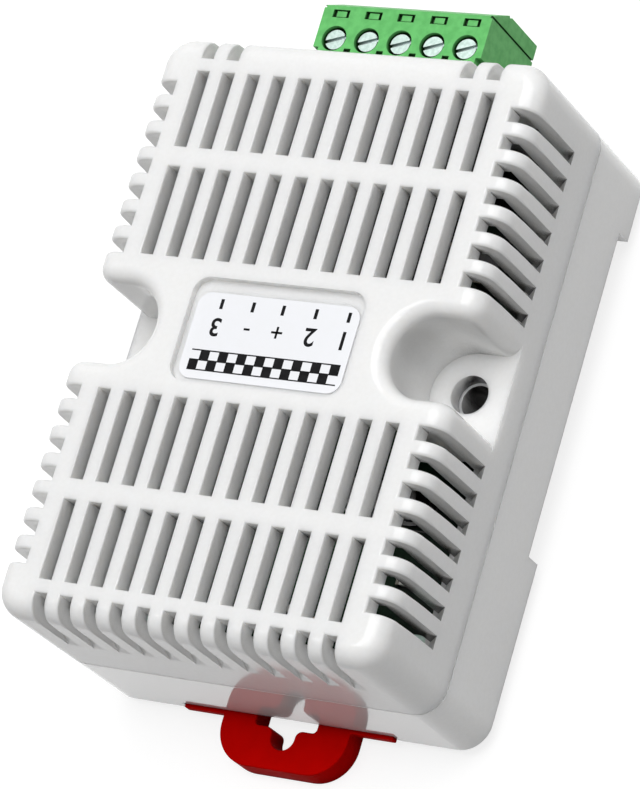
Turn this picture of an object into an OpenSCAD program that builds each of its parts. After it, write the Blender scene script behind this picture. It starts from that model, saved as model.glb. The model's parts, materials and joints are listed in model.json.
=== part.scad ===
// Temperature and humidity sensor in a louvred two-part case that clips onto a 35 mm rail.
// Origin: midway between the two wall screw holes, on the plane where the rail seats.
// +X runs across the case, +Y towards the screw terminals, +Z out of the grille face. Millimetres.

/* [Case] */
// Width of the case
case_w = 45.6; // [44.6:0.1:54]
// Length of the case, from the clip end to the terminal end
case_l = 65.4; // [64.4:0.1:80]
// Height from the rear pads to the grille face
case_h = 26.5; // [25.8:0.1:32]
// Height of the cover, from the seam to the grille face
cover_h = 15.3; // [14.8:0.1:16]
// Radius of the upright corners
corner_r = 3.2; // [3.1:0.1:4]
// Radius of the rounding along the edges of the grille face
edge_r = 2.2; // [1.8:0.1:2.4]
// Thickness of the grille face
face_t = 2.3; // [1.8:0.1:2.6]
// Thickness of the cover's side walls
cover_wall = 2; // [1.6:0.1:2.2]
// Thickness of the base's side walls
base_wall = 2.9; // [2.8:0.1:3]
// Thickness of the base's floor above the rail
floor_t = 1.8; // [1.4:0.1:2.4]
// Height of the base's lip inside the cover
lip_h = 2; // [1.5:0.1:2.4]
// Height and depth of the shadow groove along the seam
seam_groove = 0.15; // [0.1:0.05:0.4]
// Clearance between the lip and the cover
lip_gap = 0.1; // [0.05:0.01:0.2]
// Radius of the ridges on the lip that snap into the cover
snap_r = 0.4; // [0.3:0.05:0.5]
// Length of each snap ridge
snap_l = 10; // [6:0.5:14]
// Distance of the snap ridges from the middle of the case
snap_y = 18; // [14:0.5:22]

/* [Grille] */
// Slots in each row of the face
columns = 12; // [8:2:12]
// Pitch of the slots across the face
slot_pitch = 3.1; // [2.6:0.05:3.1]
// Width of the face slots
slot_w = 1.45; // [1:0.05:1.8]
// Start of the inner rows, from the middle of the face
inner_row_start = 7.6; // [7:0.1:9]
// Length of the inner rows
inner_row_l = 10; // [8:0.1:10.5]
// Start of the outer rows, from the middle of the face
outer_row_start = 19.9; // [19:0.1:21]
// Length of the outer rows
outer_row_l = 8.7; // [6:0.1:9]
// Slots in each group along a long side
side_slots = 7; // [5:1:7]
// Pitch of the slots along the long sides
side_pitch = 3.03; // [2.6:0.01:3.03]
// Width of the slots along the long sides
side_slot_w = 1.5; // [1:0.05:1.8]
// First side slot, from the middle of the case
side_first = 8.28; // [8:0.01:9]
// Reach of the side slots onto the face
side_reach = 2.8; // [2.4:0.1:3.4]
// Depth of the side slots down the wall
side_drop = 10.2; // [7:0.1:10.6]
// Reach of the end slots onto the face
end_reach = 2.6; // [2.3:0.1:3]
// Depth of the end slots down the wall
end_drop = 8.8; // [6:0.1:10]
// Slots kept at each side of the terminal end
terminal_end_slots = 2; // [1:1:2]
// Fall of the side slots' bottoms towards the inside
side_fall = 2.6; // [0.5:0.1:2.8]
// Rise of the end slots' bottoms towards the inside
end_ramp = 6; // [3:0.1:7]

/* [Wall screw notches] */
// Distance of each screw hole from the middle of the case
notch_x = 18.45; // [18:0.05:18.8]
// Radius of the scooped notch around each screw
notch_r = 4.5; // [4.2:0.1:4.8]
// Depth of the notch below the face
notch_depth = 10.8; // [8:0.1:11.6]
// Radius of the rounded rim of the notch
notch_rim_r = 1.6; // [0.8:0.1:1.7]
// Screw hole in the cover's ear
ear_hole_d = 4.2; // [4:0.1:4.8]
// Screw hole through the base's pillar
screw_hole_d = 3.6; // [3:0.1:3.8]
// Diameter of the pillar under each ear
pillar_d = 6.4; // [5.6:0.1:6.8]

/* [Label] */
// Width of the label recess
recess_w = 20.4; // [16:0.1:22]
// Length of the label recess
recess_l = 11.5; // [10.5:0.1:13]
// Depth of the label recess
recess_depth = 0.85; // [0.5:0.05:1]
// Corner radius of the label recess
recess_r = 1.8; // [1:0.1:2.5]
// Thickness of the label
label_t = 0.12; // [0.08:0.01:0.25]
// Gap around the label's sides and lower edge
label_gap = 0.6; // [0.2:0.1:1]
// Bare strip above the label
label_top_gap = 1.4; // [0.6:0.1:2]

/* [Rail side] */
// Depth of the rail channel
channel_depth = 2.3; // [2.3:0.1:2.8]
// Width of the rail that the channel takes
rail_w = 35; // [35:0.1:35.4]
// Thickness of the rail's flange
rail_t = 1; // [0.8:0.1:1.1]
// Clearance around the rail's flange
rail_gap = 0.2; // [0.1:0.05:0.3]
// Depth of the undercut behind the fixed hook
hook_undercut = 0.8; // [0.7:0.1:1.2]
// Tip of the fixed hook, from the middle of the case
hook_y = 23.6; // [23.4:0.1:25]
// Width of the fixed hook
hook_w = 30; // [24:0.5:36]
// Lower end of the rail channel, from the middle of the case
channel_low = 12; // [11.6:0.1:12.6]

/* [Rail clip] */
// Width of the clip across its wings
clip_w = 25.2; // [22:0.1:26]
// Width of the clip's body between the guides
clip_body_w = 16.6; // [15:0.1:18]
// Height of the wings that run in the guides
wing_t = 1.2; // [0.9:0.1:1.2]
// Grip of the clip's tongue behind the rail
clip_grip = 1.2; // [0.8:0.1:1.8]
// Travel of the clip when it is pulled out
clip_travel = 3; // [2:0.1:3]
// Running clearance around the clip
clip_gap = 0.15; // [0.1:0.01:0.2]
// Bridge of the base between the clip's space and the rail channel
clip_bridge = 1.6; // [1.2:0.1:2]
// Length of the guides past the wings at rest
guide_lap = 0.75; // [0.5:0.05:1]
// Width of the handle
handle_w = 15.3; // [13:0.1:16.4]
// Reach of the clip's plate past the case
plate_reach = 0.35; // [0:0.05:0.6]
// Reach of the handle past the case
handle_l = 5.5; // [4.6:0.1:9]
// Reach of the handle's full thickness into the case
handle_root = 1; // [0.2:0.1:1.5]
// Drop of the handle behind the rear pads
handle_drop = 1.9; // [0.6:0.1:2.4]
// Corner radius of the handle
handle_r = 4.2; // [2:0.1:4.4]
// Width of the screwdriver hole at the case
hole_w = 7.4; // [6.4:0.1:8]
// Reach of the wide part of the screwdriver hole into the case
hole_depth = 2.55; // [2:0.05:3]
// Reach of the wide part of the screwdriver hole past the case
hole_shoulder = 0.95; // [0.6:0.05:1.4]
// Corner radius of the wide part of the screwdriver hole
hole_corner_r = 0.5; // [0.3:0.1:0.8]
// Width of the screwdriver notch
hole_notch_w = 2.8; // [2.4:0.1:3.4]
// Reach of the screwdriver notch past the case
hole_notch_l = 3.3; // [2.8:0.05:3.6]
// Rounding where the screwdriver notch leaves the hole
hole_fillet_r = 0.8; // [0.4:0.1:1]

/* [Terminals] */
// Pitch of the poles
pole_pitch = 3.96; // [3.81:0.01:3.96]
// Height of the plug's body
plug_h = 10.55; // [10.4:0.05:11]
// Depth of the plug's body outside the case
plug_d = 9.6; // [9.2:0.1:10.4]
// Run of the sloped front edge of the plug, along its depth
plug_slope_y = 1.7; // [1:0.1:1.8]
// Drop of the sloped front edge of the plug
plug_slope_z = 3.3; // [1.5:0.1:3.4]
// Margin of the plug beyond its outer poles
plug_side = 0.25; // [0.2:0.05:0.4]
// Gap between the plug's body and the case
plug_gap = 0.3; // [0.2:0.05:0.6]
// Lift of the plug's underside above the circuit board
plug_lift = 0.75; // [0.6:0.05:1]
// Length of the plug's nose inside the header
nose_l = 6.8; // [6:0.1:7]
// Depth of the header
header_d = 9; // [8.8:0.1:10]
// Height of the header above the circuit board
header_h = 8.4; // [8.4:0.1:9]
// Wall of the header
header_wall = 0.9; // [0.7:0.05:1]
// Clearance between the plug's nose and the header
nose_gap = 0.2; // [0.1:0.05:0.25]
// Clearance around the header in the case opening
opening_gap = 0.35; // [0.2:0.05:0.6]
// Diameter of the header pins
pin_d = 1; // [0.8:0.05:1.1]
// Distance of the pins' legs behind the header
pin_leg_gap = 1.2; // [1:0.1:1.6]
// Distance of the terminal screws from the front of the plug
screw_inset = 5.5; // [5.2:0.1:5.8]
// Diameter of a terminal screw's head
head_d = 2.3; // [2.1:0.05:2.4]
// Height of a terminal screw's head
head_h = 1.3; // [1:0.05:1.5]
// Width of the screwdriver slot in a terminal screw
head_slot_w = 0.4; // [0.3:0.05:0.6]
// Angle of the screwdriver slots at rest
head_slot_angle = 18; // [0:1:180]
// Diameter of a terminal screw's thread
thread_d = 1.6; // [1.4:0.05:1.7]
// Recess of the screw heads below the top of the plug
head_recess = 0.35; // [0.3:0.05:0.6]
// Radial clearance of a screw head in its hole
head_gap = 0.3; // [0.2:0.01:0.35]
// Outer height of a wire clamp
clamp_h = 5; // [4.6:0.1:5]
// Outer width of a wire clamp
clamp_w = 2.9; // [2.6:0.05:2.9]
// Rise of a wire clamp over the screw's turns
clamp_rise = 1.5; // [1:0.1:1.5]

/* [Circuit board] */
// Thickness of the circuit board
board_t = 1.6; // [1.2:0.1:1.6]
// Gap between the circuit board and the base's walls
board_gap = 0.4; // [0.2:0.05:0.8]
// Height of the posts under the circuit board
post_h = 1.3; // [1.2:0.1:2]
// Diameter of the posts under the circuit board
post_d = 5; // [4:0.1:6]
// Distance of the fixing screws from the long sides of the case
fix_side = 6.6; // [6.2:0.1:7.2]
// Distance of the fixing screws from the ends of the case
fix_end = 7.2; // [6.6:0.1:8.6]
// Diameter of the fixing screws
fix_d = 2; // [1.8:0.1:2.2]
// Diameter of the fixing screws' heads
fix_head_d = 3.8; // [3.4:0.1:4.2]
// Height of the fixing screws' heads
fix_head_h = 1.4; // [1:0.1:1.8]

/* [Hidden] */
$fn = 64;

// Overlap that keeps cuts clear of the faces they pass through
cut = 1;
half_w = case_w / 2;
half_l = case_l / 2;

// Heights, from the plane where the rail seats
rear_z = -channel_depth;
top_z = case_h - channel_depth;
seam_z = top_z - cover_h;
notch_floor_z = top_z - notch_depth;
ear_z = notch_floor_z - cover_wall;
board_z = floor_t + post_h;
board_top = board_z + board_t;

// Clip levels: the tongue passes behind the rail, the wings run above the guides
tongue_z = -rail_t - clip_gap;
wing_high = tongue_z + wing_t;
guide_z = tongue_z - clip_gap;
clip_inner_y = -channel_low - clip_bridge;
tongue_tip_y = hook_y + hook_undercut - rail_gap - rail_w + clip_grip;
wing_end_y = -half_l + base_wall + clip_travel + clip_gap;
guide_end_y = wing_end_y - guide_lap;
handle_low = rear_z - handle_drop;

// Terminal levels and depths
poles = 5;
row_w = poles * pole_pitch;
plug_low = board_top + plug_lift;
plug_top = plug_low + plug_h;
plug_back = half_l + plug_gap;
plug_front = plug_back + plug_d;
plug_w = row_w + 2 * plug_side;
slope_y = plug_front - plug_slope_y;
slope_z = plug_top - plug_slope_z;
header_back = half_l - header_d;
nose_side = 0.2;
nose_w = row_w - 2 * nose_side;
nose_end_y = half_l - nose_l;
nose_low = board_top + header_wall + nose_gap;
nose_h = header_h - 2 * (header_wall + nose_gap);
header_w = nose_w + 2 * (nose_gap + header_wall);
pin_z = board_top + header_h / 2;
pin_leg_y = header_back - pin_leg_gap;
screw_y = plug_front - screw_inset;
head_z = plug_top - head_recess;

// Small clearances: of pieces that bear on each other, of loose pieces, and where a pin is led in
home_gap = 0.05;
loose_gap = 0.1;
lead_in = 0.3;
web_z = head_z - head_h - home_gap;

// Socket that takes each pin, the tail that each screw presses on, and the clamp that hangs from it
socket_w = 2.4;
socket_l = 5;
socket_inset = 0.8;
socket_y = nose_end_y + socket_inset;
chamber_d = 3.6;
clamp_roof = 1;
clamp_sole = 0.8;
clamp_gap = 0.15;
tail_t = 0.5;
tail_w = 1.8;
tail_top = pin_z + socket_w / 2;
tail_end_y = screw_y + chamber_d / 2 - 2 * clamp_gap;
clamp_top = tail_top + 2 * clamp_gap + clamp_roof;
clamp_low = clamp_top - clamp_h;
web_low = clamp_top + clamp_rise + clamp_gap;

// Fixing screws: their places, the bottom of their holes, and their tips above it
fix_x = half_w - fix_side;
fix_y = half_l - fix_end;
fix_hole_low = 0.6;
fix_tip_gap = 0.3;

// Sizes of the parts on the circuit board
sensor_size = [3, 3, 1.1];
sensor_window_d = 1.6;
controller_size = [6.5, 4.4, 1.2];
controller_legs = 20;
controller_pitch = 0.65;
bus_chip_size = [5, 4, 1.6];
bus_chip_legs = 8;
bus_chip_pitch = 1.27;
chip_leg = [0.4, 0.9, 0.25];
chip_lift = 0.1;
inductor_size = [5, 5, 2.8];
inductor_dish = [3, 0.4];
crystal_size = [10.4, 4, 3.4];
can_size = [6.3, 6.6];
can_foot = [6.6, 6.6, 1];
ceramic_size = [2, 1.25, 0.9];
resistor_size = [2, 1.25, 0.55];
diode_size = [4.3, 2.6, 2.1];
light_size = [2, 1.25, 0.5];
light_lens = [1.1, 0.6];
end_cap = 0.4;
cap_skin = 0.02;

// Places of the parts: a group at the clip end, one in the middle and one behind the header
sensor_inset = 8.9;
power_inset = 7.9;
sensor_y = -half_l + sensor_inset;
power_y = header_back - power_inset;
side_inset = 10.3;
side_x = half_w - side_inset;
inner_x = side_x - 3;
sensor_at = [0, sensor_y];
light_at = [side_x, sensor_y + 6];
controller_at = [-4, -10];
crystal_at = [8, -10];
transceiver_at = [6.5, 6];
regulator_at = [-inner_x, 6];
inductor_at = [-inner_x, power_y];
filter_at = [0.5, power_y - 1];
diodes_at = [[7, power_y + 1], [side_x, power_y + 1]];
ceramics_at = [[-side_x, -9], [1.5, -3], [-3.5, 3], [side_x, 8], [-2.5, 6.5], [4, sensor_y]];
resistors_at = [[-side_x, -13], [1.5, -6.5], [side_x, 1.5], [side_x, 4.8], [3, 3], [-4, sensor_y]];

function pole_x(i) = (i - (poles - 1) / 2) * pole_pitch;

// Shared outlines

module rounded_rect(w, l, r) {
    square([w, l - 2 * r], center = true);
    square([w - 2 * r, l], center = true);
    for (sx = [-1, 1], sy = [-1, 1])
        translate([sx * (w / 2 - r), sy * (l / 2 - r)])
            circle(r);
}

// Outline of the case, drawn in by d all round
module inset_rect(d) {
    rounded_rect(case_w - 2 * d, case_l - 2 * d, corner_r - d);
}

// Upright section with its two upper corners rounded
module round_top(w, h, r) {
    translate([-w / 2, 0])
        square([w, h - r]);
    translate([r - w / 2, 0])
        square([w - 2 * r, h]);
    for (s = [-1, 1])
        translate([s * (w / 2 - r), h - r])
            circle(r);
}

// What a cut takes from a wall's surface, at x = r, to leave a rounded edge beside the cut, at y = 0
module wall_flare(r) {
    difference() {
        square([r + cut, r]);
        translate([0, r])
            circle(r);
    }
}

// The same for a face's surface, at y = r, beside a cut at x = 0
module face_flare(r) {
    mirror([1, 0])
        rotate(90)
            wall_flare(r);
}

// Block with upright rounded corners and a rounded upper edge all round
module domed_block(w, l, h, r, e) {
    for (sx = [-1, 1], sy = [-1, 1])
        translate([sx * (w / 2 - r), sy * (l / 2 - r), 0])
            rotate_extrude()
                intersection() {
                    round_top(2 * r, h, e);
                    square([r, h]);
                }
    translate([0, l / 2 - r, 0])
        rotate([90, 0, 0])
            linear_extrude(l - 2 * r)
                round_top(w, h, e);
    translate([r - w / 2, 0, 0])
        rotate([90, 0, 90])
            linear_extrude(w - 2 * r)
                round_top(l, h, e);
}

// Cover

// Scooped notch for one wall screw, at +X
module screw_notch() {
    notch_h = notch_depth + cut;
    translate([notch_x, 0, notch_floor_z]) {
        rotate_extrude() {
            square([notch_r, notch_h]);
            translate([notch_r, notch_depth - notch_rim_r])
                face_flare(notch_rim_r);
        }
        translate([0, -notch_r, 0])
            cube([half_w - notch_x + cut, 2 * notch_r, notch_h]);
    }
    for (m = [0, 1])
        mirror([0, m, 0])
            notch_rim();
    translate([notch_x, 0, ear_z - cut])
        cylinder(d = ear_hole_d, h = cover_wall + 2 * cut);
}

// Rounding of one side of the notch: along the face, round the edge of the face and down the wall
module notch_rim() {
    edge_x = half_w - edge_r;
    edge_z = top_z - edge_r;
    translate([notch_x, 0, 0])
        rotate([90, 0, 90])
            linear_extrude(edge_x - notch_x)
                translate([notch_r, top_z - notch_rim_r])
                    face_flare(notch_rim_r);
    translate([edge_x, 0, edge_z])
        rotate([-90, 0, 0])
            rotate(-90)
                rotate_extrude(angle = 90)
                    translate([edge_r - notch_rim_r, notch_r])
                        wall_flare(notch_rim_r);
    translate([half_w - notch_rim_r, notch_r, notch_floor_z])
        linear_extrude(edge_z - notch_floor_z)
            wall_flare(notch_rim_r);
}

// Wall that the cover keeps around one notch, at +X
module notch_wall() {
    r = notch_r + cover_wall;
    translate([notch_x, 0, ear_z])
        cylinder(r = r, h = top_z - ear_z);
    translate([notch_x, -r, ear_z])
        cube([half_w - notch_x, 2 * r, top_z - ear_z]);
}

module face_slots() {
    for (i = [0 : columns - 1], m = [0, 1])
        mirror([0, m, 0])
            translate([(i - (columns - 1) / 2) * slot_pitch - slot_w / 2, 0, top_z - face_t - cut]) {
                translate([0, inner_row_start, 0])
                    cube([slot_w, inner_row_l, face_t + 2 * cut]);
                translate([0, outer_row_start, 0])
                    cube([slot_w, outer_row_l, face_t + 2 * cut]);
            }
}

// Section of a slot that wraps from the face over the edge, with a bottom that rises towards the inside
module wrap_section(half, reach, drop, rise) {
    polygon([
        [half - reach, top_z + cut],
        [half + cut, top_z + cut],
        [half + cut, top_z - drop],
        [half, top_z - drop],
        [half - cover_wall, top_z - drop + rise],
        [half - reach, top_z - drop + rise]
    ]);
}

module side_wrap_slots() {
    for (mx = [0, 1], my = [0, 1], i = [0 : side_slots - 1])
        mirror([mx, 0, 0])
            mirror([0, my, 0])
                translate([0, side_first + i * side_pitch + side_slot_w / 2, 0])
                    rotate([90, 0, 0])
                        linear_extrude(side_slot_w)
                            wrap_section(half_w, side_reach, side_drop, -side_fall);
}

module end_wrap_slot(i) {
    translate([(i - (columns - 1) / 2) * slot_pitch - slot_w / 2, 0, 0])
        rotate([90, 0, 90])
            linear_extrude(slot_w)
                wrap_section(half_l, end_reach, end_drop, end_ramp);
}

module end_wrap_slots() {
    for (i = [0 : columns - 1]) {
        mirror([0, 1, 0])
            end_wrap_slot(i);
        if (i < terminal_end_slots || i >= columns - terminal_end_slots)
            end_wrap_slot(i);
    }
}

// Opening in the terminal end for the header and the plug
module terminal_opening() {
    w = header_w + 2 * opening_gap;
    translate([-w / 2, half_l - base_wall - cut, board_top - opening_gap])
        cube([w, base_wall + 2 * cut, plug_top - board_top + 2 * opening_gap]);
}

// Ridges of the snap fit, or the grooves that take them
module snap_ridges(r) {
    for (sx = [-1, 1], sy = [-1, 1])
        translate([sx * (half_w - cover_wall - lip_gap), sy * snap_y + snap_l / 2, seam_z + lip_h / 2])
            rotate([90, 0, 0])
                cylinder(r = r, h = snap_l);
}

module cover() {
    color("white")
        difference() {
            translate([0, 0, seam_z])
                domed_block(case_w, case_l, cover_h, corner_r, edge_r);
            difference() {
                translate([0, 0, seam_z - cut])
                    linear_extrude(cover_h - face_t + cut)
                        inset_rect(cover_wall);
                for (m = [0, 1])
                    mirror([m, 0, 0])
                        notch_wall();
            }
            for (m = [0, 1])
                mirror([m, 0, 0])
                    screw_notch();
            face_slots();
            side_wrap_slots();
            end_wrap_slots();
            translate([0, 0, top_z - recess_depth])
                linear_extrude(recess_depth + cut)
                    rounded_rect(recess_w, recess_l, recess_r);
            terminal_opening();
            snap_ridges(snap_r + lip_gap);
        }
}

module label() {
    label_l = recess_l - label_gap - label_top_gap;
    color("aliceblue")
        translate([0, (label_gap - label_top_gap) / 2, top_z - recess_depth])
            linear_extrude(label_t)
                rounded_rect(recess_w - 2 * label_gap, label_l, recess_r - label_gap / 2);
}

// Base

// Channel across the back for the rail, with the fixed hook left standing at its upper end
module rail_channel() {
    hook_h = channel_depth - rail_t - rail_gap;
    difference() {
        translate([-half_w - cut, -channel_low, rear_z - cut])
            cube([case_w + 2 * cut, channel_low + hook_y + hook_undercut, channel_depth + cut]);
        translate([-hook_w / 2, hook_y, rear_z - 2 * cut])
            cube([hook_w, hook_undercut + cut, hook_h + 2 * cut]);
    }
}

// Space for the clip: high in the middle, with guides below the wings and low passages at both ends
module clip_way() {
    way_w = clip_w + 2 * clip_gap;
    body_w = clip_body_w + 2 * clip_gap;
    low_top = tongue_z + clip_gap;
    way_h = wing_high + clip_gap - rear_z;
    translate([-way_w / 2, -half_l + base_wall, guide_z])
        cube([way_w, half_l - base_wall + clip_inner_y, wing_high + clip_gap - guide_z]);
    translate([-body_w / 2, -half_l + base_wall, rear_z - cut])
        cube([body_w, half_l - base_wall + clip_inner_y, way_h + cut]);
    translate([-way_w / 2, -half_l - cut, rear_z - cut])
        cube([way_w, guide_end_y + half_l + cut, low_top - rear_z + cut]);
    translate([-body_w / 2, clip_inner_y - cut, rear_z - cut])
        cube([body_w, -channel_low - clip_inner_y + 2 * cut, low_top - rear_z + cut]);
}

// Pillar under each ear of the cover; above the seam it stays inside the lip
module pillars() {
    lip_w = case_w - 2 * (cover_wall + lip_gap);
    for (s = [-1, 1]) {
        translate([s * notch_x, 0, 0])
            cylinder(d = pillar_d, h = seam_z);
        intersection() {
            translate([s * notch_x, 0, 0])
                cylinder(d = pillar_d, h = ear_z);
            translate([-lip_w / 2, -pillar_d, 0])
                cube([lip_w, 2 * pillar_d, ear_z]);
        }
    }
}

// Lip that stands inside the cover, flush with the inside of the base's walls
module lip() {
    difference() {
        translate([0, 0, seam_z - cut])
            linear_extrude(lip_h + cut)
                inset_rect(cover_wall + lip_gap);
        translate([0, 0, seam_z - 2 * cut])
            linear_extrude(lip_h + 3 * cut)
                inset_rect(base_wall);
    }
    snap_ridges(snap_r);
}

module base() {
    color("white")
        difference() {
            union() {
                difference() {
                    union() {
                        translate([0, 0, rear_z])
                            linear_extrude(seam_z - seam_groove - rear_z)
                                rounded_rect(case_w, case_l, corner_r);
                        translate([0, 0, rear_z])
                            linear_extrude(seam_z - rear_z)
                                inset_rect(seam_groove);
                    }
                    translate([0, 0, floor_t])
                        linear_extrude(seam_z)
                            inset_rect(base_wall);
                }
                lip();
                pillars();
                for (sx = [-1, 1], sy = [-1, 1])
                    translate([sx * fix_x, sy * fix_y, floor_t - cut])
                        cylinder(d = post_d, h = post_h + cut);
            }
            rail_channel();
            clip_way();
            terminal_opening();
            for (s = [-1, 1])
                translate([s * notch_x, 0, rear_z])
                    cylinder(d = screw_hole_d, h = case_h);
            for (sx = [-1, 1], sy = [-1, 1])
                translate([sx * fix_x, sy * fix_y, fix_hole_low])
                    cylinder(d = fix_d + 2 * home_gap, h = board_z);
        }
}

// Rail clip

// Screwdriver hole: a wide bar at the case, with a rounded notch towards the handle's end
module driver_hole() {
    tip_r = hole_notch_w / 2;
    bar_y = -half_l - hole_shoulder;
    tip_y = -half_l - hole_notch_l + tip_r;
    translate([0, (hole_depth - hole_shoulder) / 2 - half_l])
        rounded_rect(hole_w, hole_shoulder + hole_depth, hole_corner_r);
    translate([-tip_r, tip_y])
        square([hole_notch_w, bar_y - tip_y + hole_corner_r]);
    translate([0, tip_y])
        circle(tip_r);
    for (m = [0, 1])
        mirror([m, 0])
            translate([tip_r, bar_y - hole_fillet_r])
                face_flare(hole_fillet_r);
}

// Handle outline, rounded at its outer corners
module handle_outline(inner_y) {
    outer_y = -half_l - handle_l;
    intersection() {
        translate([0, outer_y + handle_l])
            rounded_rect(handle_w, 2 * handle_l, handle_r);
        translate([-handle_w / 2, outer_y])
            square([handle_w, inner_y - outer_y]);
    }
}

module rail_clip() {
    wing_start_y = clip_inner_y - clip_gap;
    tongue_h = tongue_z - rear_z;
    color("firebrick")
        difference() {
            union() {
                translate([-clip_w / 2, wing_end_y, tongue_z])
                    cube([clip_w, wing_start_y - wing_end_y, wing_t]);
                translate([-clip_body_w / 2, wing_end_y, rear_z])
                    cube([clip_body_w, wing_start_y - wing_end_y, tongue_h + wing_t / 2]);
                translate([-clip_w / 2, -half_l - plate_reach, rear_z])
                    cube([clip_w, guide_end_y - clip_gap + half_l + plate_reach, tongue_h]);
                translate([-clip_body_w / 2, guide_end_y - 2 * clip_gap, rear_z])
                    cube([clip_body_w, wing_end_y - guide_end_y + cut, tongue_h]);
                translate([clip_body_w / 2, 0, 0])
                    rotate([90, 0, -90])
                        linear_extrude(clip_body_w)
                            polygon([
                                [-wing_start_y + cut, rear_z],
                                [-wing_start_y + cut, tongue_z],
                                [-tongue_tip_y, tongue_z],
                                [-tongue_tip_y, tongue_z - tongue_h / 3],
                                [-tongue_tip_y + tongue_h, rear_z]
                            ]);
                translate([0, 0, handle_low])
                    linear_extrude(tongue_z - handle_low)
                        handle_outline(-half_l + handle_root);
            }
            translate([0, 0, handle_low - cut])
                linear_extrude(wing_high - handle_low + 2 * cut)
                    driver_hole();
        }
}

// Circuit board and its screws

module circuit_board() {
    board_w = case_w - 2 * (base_wall + board_gap);
    board_l = case_l - 2 * (base_wall + board_gap);
    color("darkgreen")
        translate([0, 0, board_z])
            linear_extrude(board_t)
                difference() {
                    rounded_rect(board_w, board_l, corner_r - base_wall);
                    for (s = [-1, 1])
                        translate([s * notch_x, 0])
                            circle(d = pillar_d + 2 * board_gap);
                    for (sx = [-1, 1], sy = [-1, 1])
                        translate([sx * fix_x, sy * fix_y])
                            circle(d = fix_d + 4 * loose_gap);
                    for (i = [0 : poles - 1])
                        translate([pole_x(i), pin_leg_y])
                            circle(d = pin_d + 2 * loose_gap);
                }
}

module board_screws() {
    shank_l = board_top - fix_hole_low - fix_tip_gap;
    cross_w = 0.5;
    color("silver")
        for (sx = [-1, 1], sy = [-1, 1])
            translate([sx * fix_x, sy * fix_y, board_top])
                difference() {
                    union() {
                        cylinder(d = fix_head_d, h = fix_head_h);
                        translate([0, 0, -shank_l])
                            cylinder(d = fix_d, h = shank_l + fix_head_h / 2);
                    }
                    for (a = [0, 90])
                        rotate(a)
                            translate([-fix_head_d / 4, -cross_w / 2, fix_head_h / 2])
                                cube([fix_head_d / 2, cross_w, fix_head_h]);
                }
}

// Screw terminal

module terminal_header() {
    bay_l = nose_l + 3 * nose_gap;
    color("forestgreen")
        difference() {
            translate([-header_w / 2, header_back, board_top])
                cube([header_w, header_d, header_h]);
            translate([header_wall - header_w / 2, half_l - bay_l, board_top + header_wall])
                cube([header_w - 2 * header_wall, bay_l + cut, header_h - 2 * header_wall]);
            for (i = [0 : poles - 1])
                translate([pole_x(i), half_l, pin_z])
                    rotate([90, 0, 0])
                        cylinder(d = pin_d + 2 * home_gap, h = header_d + cut);
        }
}

// Bent pins: one leg through the board, one along the header
module header_pins() {
    pin_tip = socket_y + socket_l - loose_gap;
    leg_low = board_z - board_t / 2;
    color("lightgray")
        for (i = [0 : poles - 1])
            translate([pole_x(i), pin_leg_y, 0]) {
                translate([0, 0, leg_low])
                    cylinder(d = pin_d, h = pin_z - leg_low);
                translate([0, 0, pin_z])
                    sphere(d = pin_d);
                translate([0, 0, pin_z])
                    rotate([-90, 0, 0])
                        cylinder(d = pin_d, h = pin_tip - pin_leg_y);
            }
}

// Side view of the plug's body, in depth and height
module plug_section() {
    brow = 0.3;
    polygon([
        [plug_back, plug_low],
        [plug_front, plug_low],
        [plug_front, slope_z - 2 * brow],
        [plug_front - brow, slope_z - brow],
        [plug_front, slope_z],
        [slope_y, plug_top],
        [plug_back, plug_top]
    ]);
}

// Everything cut from the plug for one pole, which stands at x = 0
module pole_cuts() {
    chamber_w = clamp_w + 2 * clamp_gap;
    chamber_low = clamp_low - clamp_gap;
    wire_w = 2.5;
    wire_h = tail_top - tail_t - clamp_low - clamp_sole;
    wire_z = clamp_low + clamp_sole;
    funnel = 0.4;
    bay_w = socket_w + 2 * loose_gap;
    tail_y = socket_y + socket_l - cut;
    window = [2, 0.9, 0.6];
    block = [1.2, 0.7, 0.45];
    translate([-chamber_w / 2, screw_y - chamber_d / 2, chamber_low])
        cube([chamber_w, chamber_d, web_low - chamber_low]);
    translate([0, screw_y, web_z])
        cylinder(d = head_d + 2 * head_gap, h = plug_h);
    translate([0, screw_y, web_low - cut])
        cylinder(d = thread_d + 2 * loose_gap, h = web_z - web_low + 2 * cut);
    translate([-wire_w / 2, screw_y, wire_z])
        cube([wire_w, plug_front, wire_h]);
    translate([-wire_w / 2 - funnel, plug_front - 2 * funnel, wire_z - funnel])
        cube([wire_w + 2 * funnel, cut, wire_h + 2 * funnel]);
    translate([-bay_w / 2, socket_y - loose_gap, pin_z - bay_w / 2])
        cube([bay_w, socket_l + 2 * loose_gap, bay_w]);
    translate([0, half_l, pin_z])
        rotate([90, 0, 0])
            cylinder(d = pin_d + 2 * lead_in, h = nose_l + cut);
    translate([-tail_w / 2 - loose_gap, tail_y, tail_top - tail_t - loose_gap])
        cube([tail_w + 2 * loose_gap, tail_end_y + loose_gap - tail_y, tail_t + 2 * loose_gap]);
    translate([0, slope_y - window[1], plug_top - window[2]])
        difference() {
            translate([-window[0] / 2, -window[1] / 2, 0])
                cube([window[0], window[1], cut]);
            translate([-block[0] / 2, -block[1] / 2, 0])
                cube(block);
        }
}

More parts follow.
